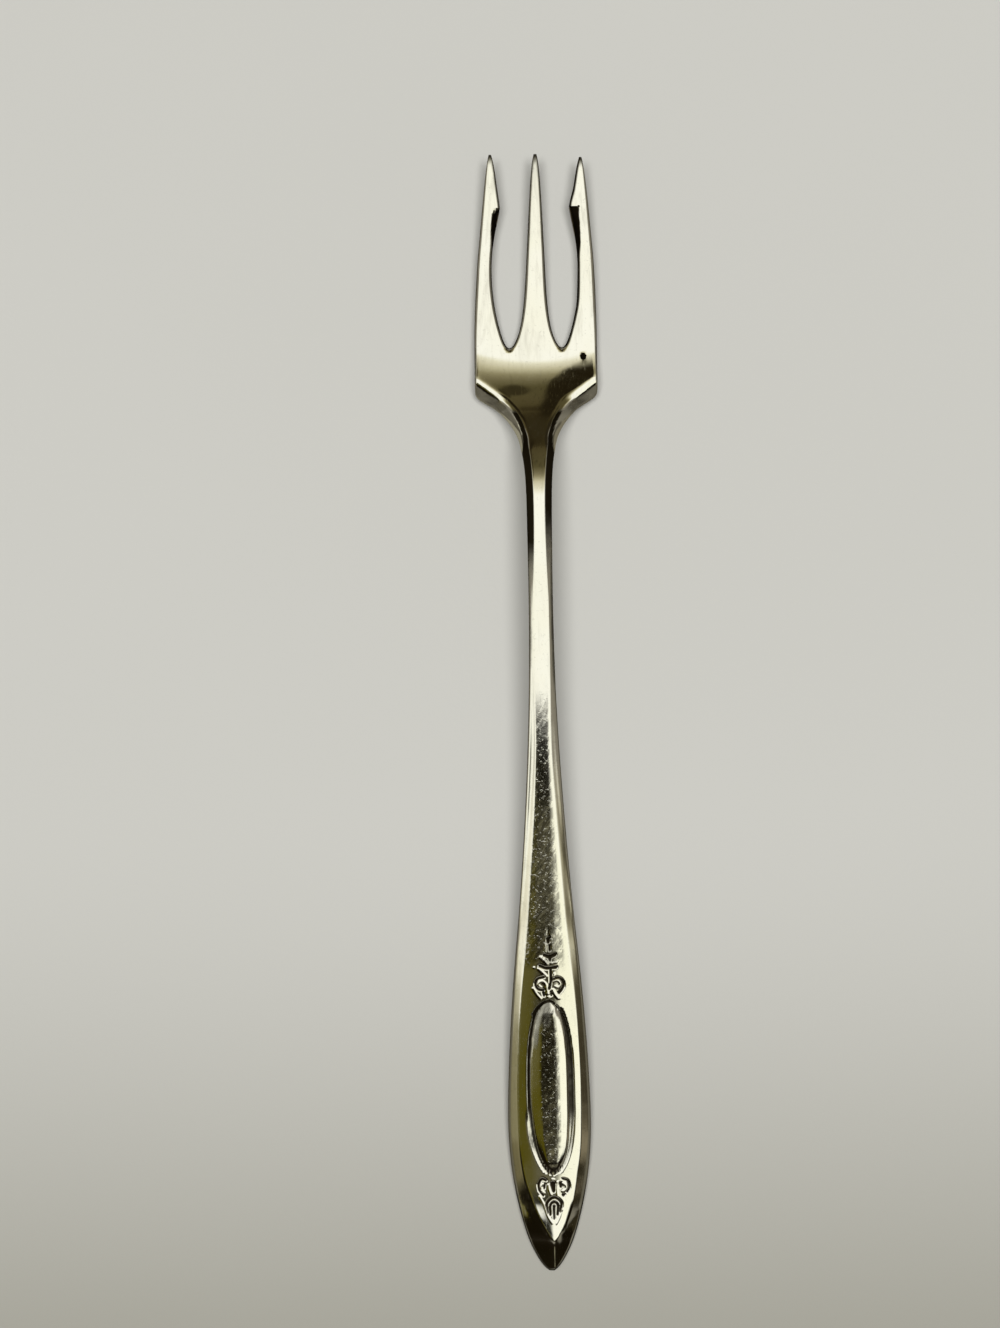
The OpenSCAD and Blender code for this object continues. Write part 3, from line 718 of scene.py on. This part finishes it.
def normals(p, f):
    a, b, c, d = p[f[:, 0]], p[f[:, 1]], p[f[:, 2]], p[f[:, 3]]
    n = np.cross(c - a, d - b)
    tri = f[:, 2] == f[:, 3]
    n[tri] = np.cross(b[tri] - a[tri], c[tri] - a[tri])
    out = np.zeros_like(p)
    for k in range(4):
        np.add.at(out, f[:, k], n)
    return out / np.maximum(np.linalg.norm(out, axis=1), 1e-12)[:, None]


N = normals(P, F)
volume = np.einsum("ij,ij->i", P[F[:, 0]], np.cross(P[F[:, 1]], P[F[:, 2]])).sum() \
    + np.einsum("ij,ij->i", P[F[:, 0]], np.cross(P[F[:, 2]], P[F[:, 3]])).sum()
if volume < 0:
    F = F[:, [0, 3, 2, 1]]
    N = -N

# The pit in the head: a round hole through the plating, and a hollow in the metal under it.
PIT = np.array([6.4, 125.45 - LENGTH / 2])
PIT_R = 0.5
flat = np.hypot(P[:, 0] - PIT[0], P[:, 1] - PIT[1])
up = N[:, 2] > 0.3
in_pit = (flat < PIT_R) & up
hole = in_pit[F].all(1)
rim_points = np.setdiff1d(np.unique(F[hole]), np.unique(F[hole][:, :0])) if hole.any() else np.array([], int)


def hole_edges(f, cut):
    """Edges round the faces that are cut out, each in the direction that the faces had it."""
    e = {}
    for q in f[cut]:
        q = list(dict.fromkeys(q))
        for a, b in zip(q, q[1:] + q[:1]):
            if (b, a) in e:
                del e[(b, a)]
            else:
                e[(a, b)] = True
    return list(e)


rim = hole_edges(F, hole)
for k in {a for a, _ in rim}:
    d = P[k, :2] - PIT
    P[k, :2] = PIT + d / np.linalg.norm(d) * PIT_R


def make_mesh(name, p, f, attributes):
    me = bpy.data.meshes.new(name)
    tri = f[:, 2] == f[:, 3]
    sizes = np.where(tri, 3, 4)
    loops = np.concatenate([q[:n] for q, n in zip(f, sizes)])
    me.vertices.add(len(p))
    me.vertices.foreach_set("co", (p * 0.001).astype(np.float32).ravel())
    me.loops.add(len(loops))
    me.loops.foreach_set("vertex_index", loops.astype(np.int32))
    me.polygons.add(len(f))
    starts = np.concatenate(([0], np.cumsum(sizes)[:-1]))
    me.polygons.foreach_set("loop_start", starts.astype(np.int32))
    me.polygons.foreach_set("use_smooth", np.ones(len(f), bool))
    me.update(calc_edges=True)
    me.validate()
    for key, values in attributes.items():
        me.attributes.new(key, "FLOAT", "POINT").data.foreach_set("value", values.astype(np.float32))
    me.set_sharp_from_angle(angle=math.radians(42))
    ob = bpy.data.objects.new(name, me)
    bpy.context.scene.collection.objects.link(ob)
    return ob


# The plating: the outer face, the inner face against the blank, and the wall of the pit's hole between them.
n = len(P)
inner_p = P - N * PLATING
keep = F[~hole]
wall_f = np.array([(b, a, a + n, b + n) for a, b in rim])
wall_f = wall_f[:, [0, 3, 2, 1]] if len(wall_f) else np.zeros((0, 4), int)
skin_f = np.vstack((keep, keep[:, [0, 3, 2, 1]] + n, wall_f))
skin_f[:, :] = skin_f
tri = (keep[:, 2] == keep[:, 3])
low = keep[:, [0, 2, 1, 1]][tri] + n
skin_f[len(keep):2 * len(keep)][tri] = low
plating = make_mesh("silver_plating_skin", np.vstack((P, inner_p)), skin_f,
                    {"tarnish_and_painted_shade": np.concatenate((TARNISH_AND_PAINTED_SHADE, np.ones(n))), "worn": np.concatenate((WORN, np.zeros(n)))})

core_p = P - N * (PLATING + 0.002)
sink = np.clip(1 - (flat / PIT_R) ** 2, 0, 1) * up
core_p[:, 2] -= 0.3 * sink
blank = make_mesh("fork_blank_core", core_p, F, {"tarnish_and_painted_shade": np.where(sink > 0, 1.0, 0.0)})

for piece, node, slot in ((plating, "silver_plating", "silver_plate"), (blank, "fork_blank", "nickel_silver")):
    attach(piece, "root")
    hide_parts(node)

# ---------------------------------------------------------------------------------------------------------------
# Materials
# ---------------------------------------------------------------------------------------------------------------


class Nodes:
    """Short calls for a node tree."""

    def __init__(self, tree):
        self.t = tree
        tree.nodes.clear()

    def add(self, kind, inputs=None, **props):
        nd = self.t.nodes.new(kind)
        for k, val in props.items():
            setattr(nd, k, val)
        for k, val in (inputs or {}).items():
            self.put(nd.inputs[k], val)
        return nd

    def put(self, socket, val):
        if isinstance(val, bpy.types.NodeSocket):
            self.t.links.new(val, socket)
        else:
            socket.default_value = val

    def math(self, op, a, b=0.0, c=0.0, clamp=False):
        nd = self.add("ShaderNodeMath", operation=op, use_clamp=clamp)
        for k, val in enumerate((a, b, c)):
            if k < len(nd.inputs):
                self.put(nd.inputs[k], val)
        return nd.outputs[0]

    def span(self, val, a, b, c=0.0, d=1.0, kind="SMOOTHSTEP"):
        nd = self.add("ShaderNodeMapRange", interpolation_type=kind, clamp=True)
        for k, x in enumerate((val, a, b, c, d)):
            self.put(nd.inputs[k], x)
        return nd.outputs[0]

    def mix(self, f, a, b):
        nd = self.add("ShaderNodeMix", data_type="RGBA")
        self.put(nd.inputs[0], f)
        self.put(nd.inputs[6], a)
        self.put(nd.inputs[7], b)
        return nd.outputs[2]

    def ramp(self, f, stops, kind="LINEAR"):
        nd = self.add("ShaderNodeValToRGB")
        nd.color_ramp.interpolation = kind
        els = nd.color_ramp.elements
        while len(els) < len(stops):
            els.new(0.5)
        for el, (at_, col) in zip(els, stops):
            el.position = at_
            el.color = (*col, 1)
        self.put(nd.inputs[0], f)
        return nd.outputs[0]

    def noise(self, vec, scale, detail=3.0, rough=0.55, distortion=0.0):
        return self.add("ShaderNodeTexNoise", {"Vector": vec, "Scale": scale, "Detail": detail, "Roughness": rough,
                                               "Distortion": distortion}).outputs[0]


def metal(name, clean, base, base_dull, tarnish_and_shade_colour, rough):
    m = bpy.data.materials.new(name)
    m.use_nodes = True
    g = Nodes(m.node_tree)
    out = g.add("ShaderNodeOutputMaterial")
    pos = g.add("ShaderNodeTexCoord").outputs["Object"]
    dark = g.add("ShaderNodeAttribute", attribute_name="tarnish_and_painted_shade").outputs["Fac"]
    wear = g.add("ShaderNodeAttribute", attribute_name="worn").outputs["Fac"]

    # broad clouds of tint, and small patches of dull film
    cloud = g.noise(pos, 90.0, 3.0, 0.6)
    film = g.noise(pos, 420.0, 4.0, 0.6, 0.4)
    spots = g.span(g.noise(pos, 2300.0, 2.0, 0.5), 0.62, 0.72)
    # polishing lines along the fork, and a few longer scratches across them
    along = g.add("ShaderNodeMapping", {"Vector": pos, "Scale": (9000.0, 260.0, 9000.0)}).outputs[0]
    lines = g.noise(along, 1.0, 2.0, 0.6)
    turned = g.add("ShaderNodeMapping", {"Vector": pos, "Rotation": (0.0, 0.0, 0.9), "Scale": (5200.0, 170.0, 3000.0)}).outputs[0]
    cross = g.span(g.noise(turned, 1.0, 1.0, 0.5), 0.66, 0.74)
    turned2 = g.add("ShaderNodeMapping", {"Vector": pos, "Rotation": (0.0, 0.0, -0.5), "Scale": (4300.0, 130.0, 3000.0)}).outputs[0]
    cross2 = g.span(g.noise(turned2, 1.0, 1.0, 0.5), 0.67, 0.75)
    # pitted, mottled wear
    mottle = g.noise(pos, 1500.0, 3.0, 0.6, 0.5)
    mottle2 = g.noise(pos, 4200.0, 2.0, 0.6)
    nicks = g.span(g.noise(pos, 2600.0, 2.0, 0.5, 0.3), 0.61, 0.70)

    # dull streaks along the fork, from wiping
    drawn = g.add("ShaderNodeMapping", {"Vector": pos, "Scale": (1500.0, 210.0, 800.0)}).outputs[0]
    streaks = g.span(g.noise(drawn, 1.0, 3.0, 0.6), 0.52, 0.75)

    tint = g.mix(g.span(cloud, 0.35, 0.7), clean, base)
    head = g.span(g.add("ShaderNodeSeparateXYZ", {0: pos}).outputs[1], 0.044, 0.054)
    tint = g.mix(g.math("MULTIPLY", streaks, g.span(head, 0.0, 1.0, 0.25, 0.45)), tint, base_dull)
    wiped = g.add("ShaderNodeMapping", {"Vector": pos, "Scale": (640.0, 130.0, 400.0)}).outputs[0]
    smudge = g.span(g.noise(wiped, 1.0, 3.0, 0.55, 0.6), 0.5, 0.7)
    tint = g.mix(g.math("MULTIPLY", smudge, g.math("MULTIPLY", head, 0.6)), tint, base_dull)
    tint = g.mix(g.math("MULTIPLY", spots, 0.10), tint, tarnish_and_shade_colour)
    slant = g.add("ShaderNodeMapping", {"Vector": pos, "Rotation": (0.0, 0.0, -0.55), "Scale": (1 / 1900, 1 / 520, 1 / 1500)}, vector_type="TEXTURE").outputs[0]
    scratch = g.noise(slant, 1.0, 2.0, 0.6)
    grain = g.math("ADD", g.math("MULTIPLY", mottle, 0.2), g.math("MULTIPLY", mottle2, 0.15))
    grain = g.math("ADD", grain, g.math("MULTIPLY", scratch, 0.65))
    worn_col = g.mix(g.span(grain, 0.44, 0.6), tarnish_and_shade_colour, tint)
    much = g.math("MULTIPLY", g.span(wear, 0.0, 0.6, 0.0, 0.6, "LINEAR"), g.span(wear, 0.6, 1.0, 1.0, 0.9))
    tint = g.mix(much, tint, worn_col)
    # the attribute read above pulls the colour towards the dark colour: real tarnish in the ornament's and medallion's
    # hollows, and painted shade along edges, bevels and tine walls
    edge = g.math("ADD", dark, g.math("MULTIPLY", g.math("SUBTRACT", film, 0.5), 0.35), clamp=True)
    tarnish_and_shade_veil = g.math("MULTIPLY", g.span(edge, 0.12, 0.85), g.span(dark, 0.02, 0.15))
    col = g.mix(tarnish_and_shade_veil, tint, tarnish_and_shade_colour)

    r = g.math("ADD", rough, g.math("MULTIPLY", g.span(film, 0.4, 0.75), 0.05))
    r = g.math("ADD", r, g.math("MULTIPLY", g.math("ADD", cross, cross2), 0.05))
    r = g.math("ADD", r, g.math("MULTIPLY", g.span(wear, 0.6, 1.0), g.span(mottle2, 0.3, 0.7, 0.01, 0.07)))
    r = g.math("ADD", r, g.math("MULTIPLY", tarnish_and_shade_veil, 0.3))

    h = g.math("MULTIPLY", lines, 0.00000035)
    h = g.math("SUBTRACT", h, g.math("MULTIPLY", g.math("ADD", cross, cross2), 0.0000008))
    scuff = g.math("ADD", g.math("MULTIPLY", mottle, 0.000008), g.math("MULTIPLY", nicks, 0.000012))
    h = g.math("ADD", h, g.math("MULTIPLY", wear, scuff))
    h = g.math("ADD", h, g.math("MULTIPLY", film, 0.0000022))
    bump = g.add("ShaderNodeBump", {"Height": h, "Strength": 1.0, "Distance": 1.0}).outputs[0]
    shader = g.add("ShaderNodeBsdfPrincipled", {"Base Color": col, "Metallic": 1.0, "Roughness": r, "Normal": bump})
    g.t.links.new(shader.outputs[0], out.inputs[0])
    return m


silver = metal("worn_silver_plate", (0.945, 0.935, 0.865, 1), (0.925, 0.91, 0.81, 1), (0.68, 0.665, 0.59, 1), (0.030, 0.024, 0.014, 1), 0.06)
alloy = metal("nickel_silver_core", (0.60, 0.53, 0.38, 1), (0.52, 0.45, 0.30, 1), (0.40, 0.35, 0.24, 1), (0.02, 0.016, 0.01, 1), 0.3)
plating.data.materials.append(silver)
blank.data.materials.append(alloy)

# ---------------------------------------------------------------------------------------------------------------
# Floor, light and camera
# ---------------------------------------------------------------------------------------------------------------

bpy.ops.mesh.primitive_plane_add(size=3.0, location=(0, 0, -0.00003))
floor = bpy.context.object
floor.name = "floor"
fm = bpy.data.materials.new("floor_sheet")
fm.use_nodes = True
g = Nodes(fm.node_tree)
pos = g.add("ShaderNodeTexCoord").outputs["Object"]
tone = g.mix(g.span(g.noise(pos, 7.0, 3.0, 0.5), 0.3, 0.7), (0.60, 0.598, 0.575, 1), (0.612, 0.61, 0.588, 1))
# painted shade: the sheet is made a little darker and warmer towards its near end, where the light falls off
there = g.add("ShaderNodeSeparateXYZ", {0: pos})
shade = g.math("MULTIPLY", g.span(there.outputs[1], -0.01, -0.12), g.span(there.outputs[1], -0.6, -0.1))
shade = g.math("MULTIPLY", shade, g.span(g.math("ABSOLUTE", there.outputs[0]), 0.6, 0.07))
tone = g.mix(shade, tone, (0.31, 0.302, 0.258, 1))
# painted reflection: for glossy rays the sheet takes a darker tone than from above, darkest beside the neck and
# lighter to the left of the axis than to the right
beside_neck = g.math("MULTIPLY", g.span(there.outputs[1], 0.026, 0.032), g.span(there.outputs[1], 0.046, 0.042))
painted_reflection_tone = g.mix(beside_neck, (0.06, 0.053, 0.038, 1), g.mix(g.span(there.outputs[0], -0.002, 0.002), (0.27, 0.255, 0.2, 1), (0.17, 0.155, 0.115, 1)))
tone = g.mix(g.add("ShaderNodeLightPath").outputs["Is Glossy Ray"], tone, painted_reflection_tone)
grain = g.add("ShaderNodeBump", {"Height": g.noise(pos, 1500.0, 2.0, 0.5), "Strength": 0.03, "Distance": 0.0005}).outputs[0]
fs = g.add("ShaderNodeBsdfPrincipled", {"Base Color": tone, "Roughness": 0.75, "Normal": grain})
fo = g.add("ShaderNodeOutputMaterial")
g.t.links.new(fs.outputs[0], fo.inputs[0])
floor.data.materials.append(fm)


def sun(name, lean, strength, colour):
    data = bpy.data.lights.new(name, "SUN")
    data.angle = 0.38
    data.energy = strength
    data.color = colour
    ob = bpy.data.objects.new(name, data)
    ob.location = (-lean, 0.05, 1)
    ob.rotation_mode = "QUATERNION"
    ob.rotation_quaternion = Vector((lean, -0.04, -1)).to_track_quat("-Z", "Y")
    ob.visible_glossy = False
    bpy.context.scene.collection.objects.link(ob)
    return ob


# two broad soft lights from high up, left and right
sun("left_light", 0.21, 1.39, (1.0, 0.997, 0.972))
sun("right_light", -0.21, 1.51, (1.0, 0.997, 0.972))

# The studio round the fork: soft light all round for the floor, and for the metal a bright ceiling with darker sides.
world = bpy.data.worlds.new("studio")
bpy.context.scene.world = world
world.use_nodes = True
g = Nodes(world.node_tree)
way = g.add("ShaderNodeSeparateXYZ", {0: g.add("ShaderNodeTexCoord").outputs["Generated"]})
deg = 180 / math.pi
ax = g.math("MULTIPLY", g.math("ARCTAN2", way.outputs[0], way.outputs[2]), deg)
ay = g.math("MULTIPLY", g.math("ARCSINE", way.outputs[1]), deg)
fx = g.span(ax, -90.0, 90.0, kind="LINEAR")
fy = g.span(ay, -90.0, 90.0, kind="LINEAR")


def d(a):
    return (a + 90) / 180


# overhead: a broad bright sheet with dark strips beside it
ceiling = g.ramp(fx, [
    (d(-90), (0.12, 0.11, 0.085)), (d(-81), (0.14, 0.13, 0.10)), (d(-75), (0.32, 0.30, 0.25)), (d(-70), (0.32, 0.30, 0.25)),
    (d(-65), (0.24, 0.22, 0.18)), (d(-49), (0.24, 0.22, 0.18)), (d(-44), (0.96, 0.95, 0.86)), (d(0), (1.02, 1.012, 0.93)),
    (d(40), (0.98, 0.97, 0.89)), (d(45), (0.24, 0.22, 0.18)), (d(62), (0.22, 0.20, 0.16)), (d(72), (0.2, 0.185, 0.15)),
    (d(90), (0.18, 0.168, 0.135)),
])
# lower on the near side, in three steps: dark in the middle, bright to the right, olive or bright to the left
stem_side = g.ramp(fx, [
    (d(-90), (0.42, 0.39, 0.30)), (d(-62), (0.40, 0.37, 0.26)), (d(-52), (0.86, 0.83, 0.68)), (d(-46), (0.98, 0.97, 0.84)), (d(-34), (0.98, 0.97, 0.86)),
    (d(-29), (0.10, 0.095, 0.06)), (d(-11), (0.04, 0.038, 0.024)), (d(-7), (0.016, 0.015, 0.009)), (d(6.5), (0.02, 0.019, 0.012)),
    (d(10.5), (1.0, 0.99, 0.87)), (d(43), (1.04, 1.03, 0.92)), (d(50), (0.55, 0.52, 0.40)), (d(54), (0.26, 0.235, 0.16)),
    (d(58), (0.07, 0.06, 0.035)), (d(70), (0.04, 0.034, 0.02)), (d(90), (0.10, 0.09, 0.065)),
])
mid_side = g.ramp(fx, [
    (d(-90), (0.13, 0.11, 0.06)), (d(-68), (0.17, 0.15, 0.08)), (d(-58), (0.26, 0.235, 0.135)), (d(-52), (0.13, 0.115, 0.04)),
    (d(-12), (0.095, 0.083, 0.024)), (d(-7), (0.115, 0.105, 0.06)), (d(5), (0.13, 0.12, 0.075)), (d(10), (1.0, 0.99, 0.82)), (d(45), (1.06, 1.05, 0.90)),
    (d(51), (0.06, 0.05, 0.03)), (d(75), (0.03, 0.024, 0.013)), (d(90), (0.06, 0.053, 0.04)),
])
grip_side = g.ramp(fx, [
    (d(-90), (0.09, 0.075, 0.04)), (d(-66), (0.12, 0.103, 0.05)), (d(-58), (0.22, 0.19, 0.10)), (d(-52), (0.10, 0.088, 0.026)),
    (d(-46), (0.085, 0.072, 0.008)), (d(-11), (0.078, 0.066, 0.004)), (d(-7), (0.016, 0.013, 0.005)), (d(5.5), (0.018, 0.015, 0.006)),
    (d(10), (1.0, 0.99, 0.82)), (d(45), (1.06, 1.05, 0.90)), (d(51), (0.03, 0.024, 0.011)), (d(75), (0.02, 0.016, 0.009)),
    (d(90), (0.06, 0.053, 0.04)),
])
# the far side falls off to dark, and is grey again low down; so is the near side
far = g.ramp(fy, [
    (0, (0.92, 0.9, 0.78)), (d(14), (0.95, 0.93, 0.80)), (d(18), (0.82, 0.79, 0.62)), (d(21), (0.68, 0.64, 0.48)), (d(24), (0.54, 0.5, 0.34)),
    (d(28.5), (0.27, 0.24, 0.135)), (d(31), (0.19, 0.165, 0.09)), (d(34), (0.14, 0.12, 0.06)), (d(38), (0.086, 0.072, 0.03)),
    (d(52), (0.076, 0.061, 0.026)), (d(56), (0.068, 0.054, 0.022)), (d(58.5), (0.036, 0.027, 0.01)), (d(65), (0.026, 0.02, 0.008)),
    (d(70), (0.22, 0.20, 0.16)), (d(76), (0.46, 0.445, 0.40)), (1, (0.42, 0.41, 0.37)),
])
near = g.ramp(fy, [
    (0, (0.10, 0.09, 0.075)), (d(-76), (0.30, 0.285, 0.245)), (d(-66), (0.32, 0.305, 0.26)), (d(-54), (0.27, 0.255, 0.21)),
    (d(-48), (0.22, 0.205, 0.165)), (d(-43), (0.03, 0.025, 0.018)), (d(-40), (0.012, 0.009, 0.005)), (d(-30), (0.007, 0.005, 0.002)),
    (1, (0.007, 0.005, 0.002)),
])
beside = g.math("ABSOLUTE", ax)
grey = g.math("MAXIMUM", g.math("MULTIPLY", g.span(beside, 66.5, 71.0), g.span(ay, -20.0, -24.0)),
              g.math("MULTIPLY", g.span(beside, 59.0, 65.0), g.span(ay, -25.0, -28.0)))
near = g.mix(grey, near, (0.2, 0.185, 0.145, 1))
# dark things on the far side: a broad one left of the middle, which leans as it rises, and a smaller one right of it
edge_at = g.ramp(fy, [(d(t), ((b + 10) / 20,) * 3) for t, b in (
    (15, -9), (20, -7), (25, -5.2), (29, -4.2), (34, -2.2), (38, -1.5), (45, -1.1), (51, -0.7), (56, 0.4), (62, 2))])
edge_at = g.math("SUBTRACT", g.math("MULTIPLY", edge_at, 20.0), 10.0)
blot = g.span(g.math("SUBTRACT", ax, edge_at), 0.6, -0.9)
blot = g.math("MULTIPLY", blot, g.math("MULTIPLY", g.span(ax, -16.0, -13.0), g.span(ay, 18.0, 27.0)))
blot = g.math("MULTIPLY", blot, g.span(ay, 64.0, 58.0))
spot2 = g.math("ADD", g.math("POWER", g.math("DIVIDE", g.math("SUBTRACT", ax, 6.5), 4.2), 2.0),
               g.math("POWER", g.math("DIVIDE", g.math("SUBTRACT", ay, 42.0), 6.0), 2.0))
blot = g.math("MAXIMUM", blot, g.math("MULTIPLY", g.span(spot2, 1.2, 0.5), 0.72))
# and grey far out on both sides
strips = g.math("MULTIPLY", g.span(beside, 36.0, 46.0), g.span(ax, -76.0, -70.0))
far = g.mix(g.math("MULTIPLY", strips, g.span(ay, 66.0, 60.0)), far, (0.25, 0.23, 0.185, 1))
far = g.mix(g.math("MULTIPLY", g.span(ax, 7.0, 11.0), g.math("MULTIPLY", g.span(ay, 49.0, 53.0), g.span(ay, 68.0, 62.0))), far, (0.022, 0.017, 0.008, 1))
# a small lamp low on the near side
glint = g.math("ADD", g.math("POWER", g.math("DIVIDE", g.math("SUBTRACT", ax, 14.0), 20.0), 2.0),
               g.math("POWER", g.math("DIVIDE", g.math("ADD", ay, 30.0), 7.0), 2.0))
near = g.mix(g.span(glint, 1.0, 0.4), near, (0.19, 0.175, 0.115, 1))
lean = g.mix(g.span(ay, -17.8, -17.2), grip_side, mid_side)
lean = g.mix(g.span(g.math("SUBTRACT", ay, g.span(beside, 50.0, 56.0, 0.0, 1.7)), -14.6, -13.2), lean, stem_side)
patch = g.math("MULTIPLY", g.math("MULTIPLY", g.span(ax, 57.0, 62.0), g.span(ay, -21.2, -20.2)), g.span(ay, -15.8, -16.6))
patch = g.math("MULTIPLY", patch, g.span(ax, 73.0, 69.0))
lean = g.mix(patch, lean, (0.2, 0.17, 0.11, 1))
lean = g.mix(g.span(beside, 66.0, 71.0), lean, (0.125, 0.115, 0.085, 1))
low_at = g.ramp(fx, [(d(t), ((b + 10) / 20,) * 3) for t, b in (
    (-90, 2), (-62, 2), (-57, -1.6), (-51, -2.6), (-44, -2.6), (-38, 0), (52, 0), (58, 4.5), (90, 4.5))])
low_at = g.math("SUBTRACT", g.math("MULTIPLY", low_at, 20.0), 10.0)
view_sky = g.mix(g.span(g.math("ADD", ay, low_at), -22.5, -20.0), near, lean)
view_sky = g.mix(g.span(ay, -10.0, -8.2), view_sky, ceiling)
view_sky = g.mix(g.span(ay, 14.0, 19.0), view_sky, far)
view_sky = g.mix(blot, view_sky, (0.014, 0.010, 0.004, 1))
glossy = g.add("ShaderNodeLightPath").outputs["Is Glossy Ray"]
soft = (0.115, 0.110, 0.093, 1)
shown = g.mix(glossy, soft, view_sky)
# behind the sheet there is a plain pale wall
shown = g.mix(g.add("ShaderNodeLightPath").outputs["Is Camera Ray"], shown, (0.56, 0.557, 0.53, 1))
bg = g.add("ShaderNodeBackground", {"Color": shown, "Strength": 1.0})
wo = g.add("ShaderNodeOutputWorld")
g.t.links.new(bg.outputs[0], wo.inputs[0])

# The camera looks straight down. The frame is 1000 by 1328; the fork leans by one degree in it.
HIGH = 0.42
SCALE = 7.294                    # frame pixels to a millimetre, at the fork's middle height
LEAN = math.atan2(553.8 - 534.7, 1269.5 - 155.0)
cam_data = bpy.data.cameras.new("camera")
cam = bpy.data.objects.new("camera", cam_data)
bpy.context.scene.collection.objects.link(cam)
cam_data.sensor_width = 36.0
cam_data.sensor_fit = "AUTO"
cam_data.lens = 36.0 * (HIGH - 0.0022) * 1000 / (1328 / SCALE)
cam_data.clip_start, cam_data.clip_end = 0.01, 10
# where the fork's middle lies in the frame, off the frame's middle, in millimetres
off_x, off_y = (542.65 - 500.0) / SCALE, (664.0 - 714.1) / SCALE
c, s = math.cos(LEAN), math.sin(LEAN)
# frame right and frame up, as directions on the floor
right, upward = Vector((c, -s, 0)), Vector((s, c, 0))
spot = -(right * off_x + upward * off_y) * 0.001
cam.location = Vector((spot.x, spot.y, HIGH))
cam.rotation_mode = "QUATERNION"
cam.rotation_quaternion = Matrix((right, upward, Vector((0, 0, 1)))).transposed().to_quaternion()
bpy.context.scene.camera = cam

bpy.context.scene.view_settings.view_transform = "Standard"
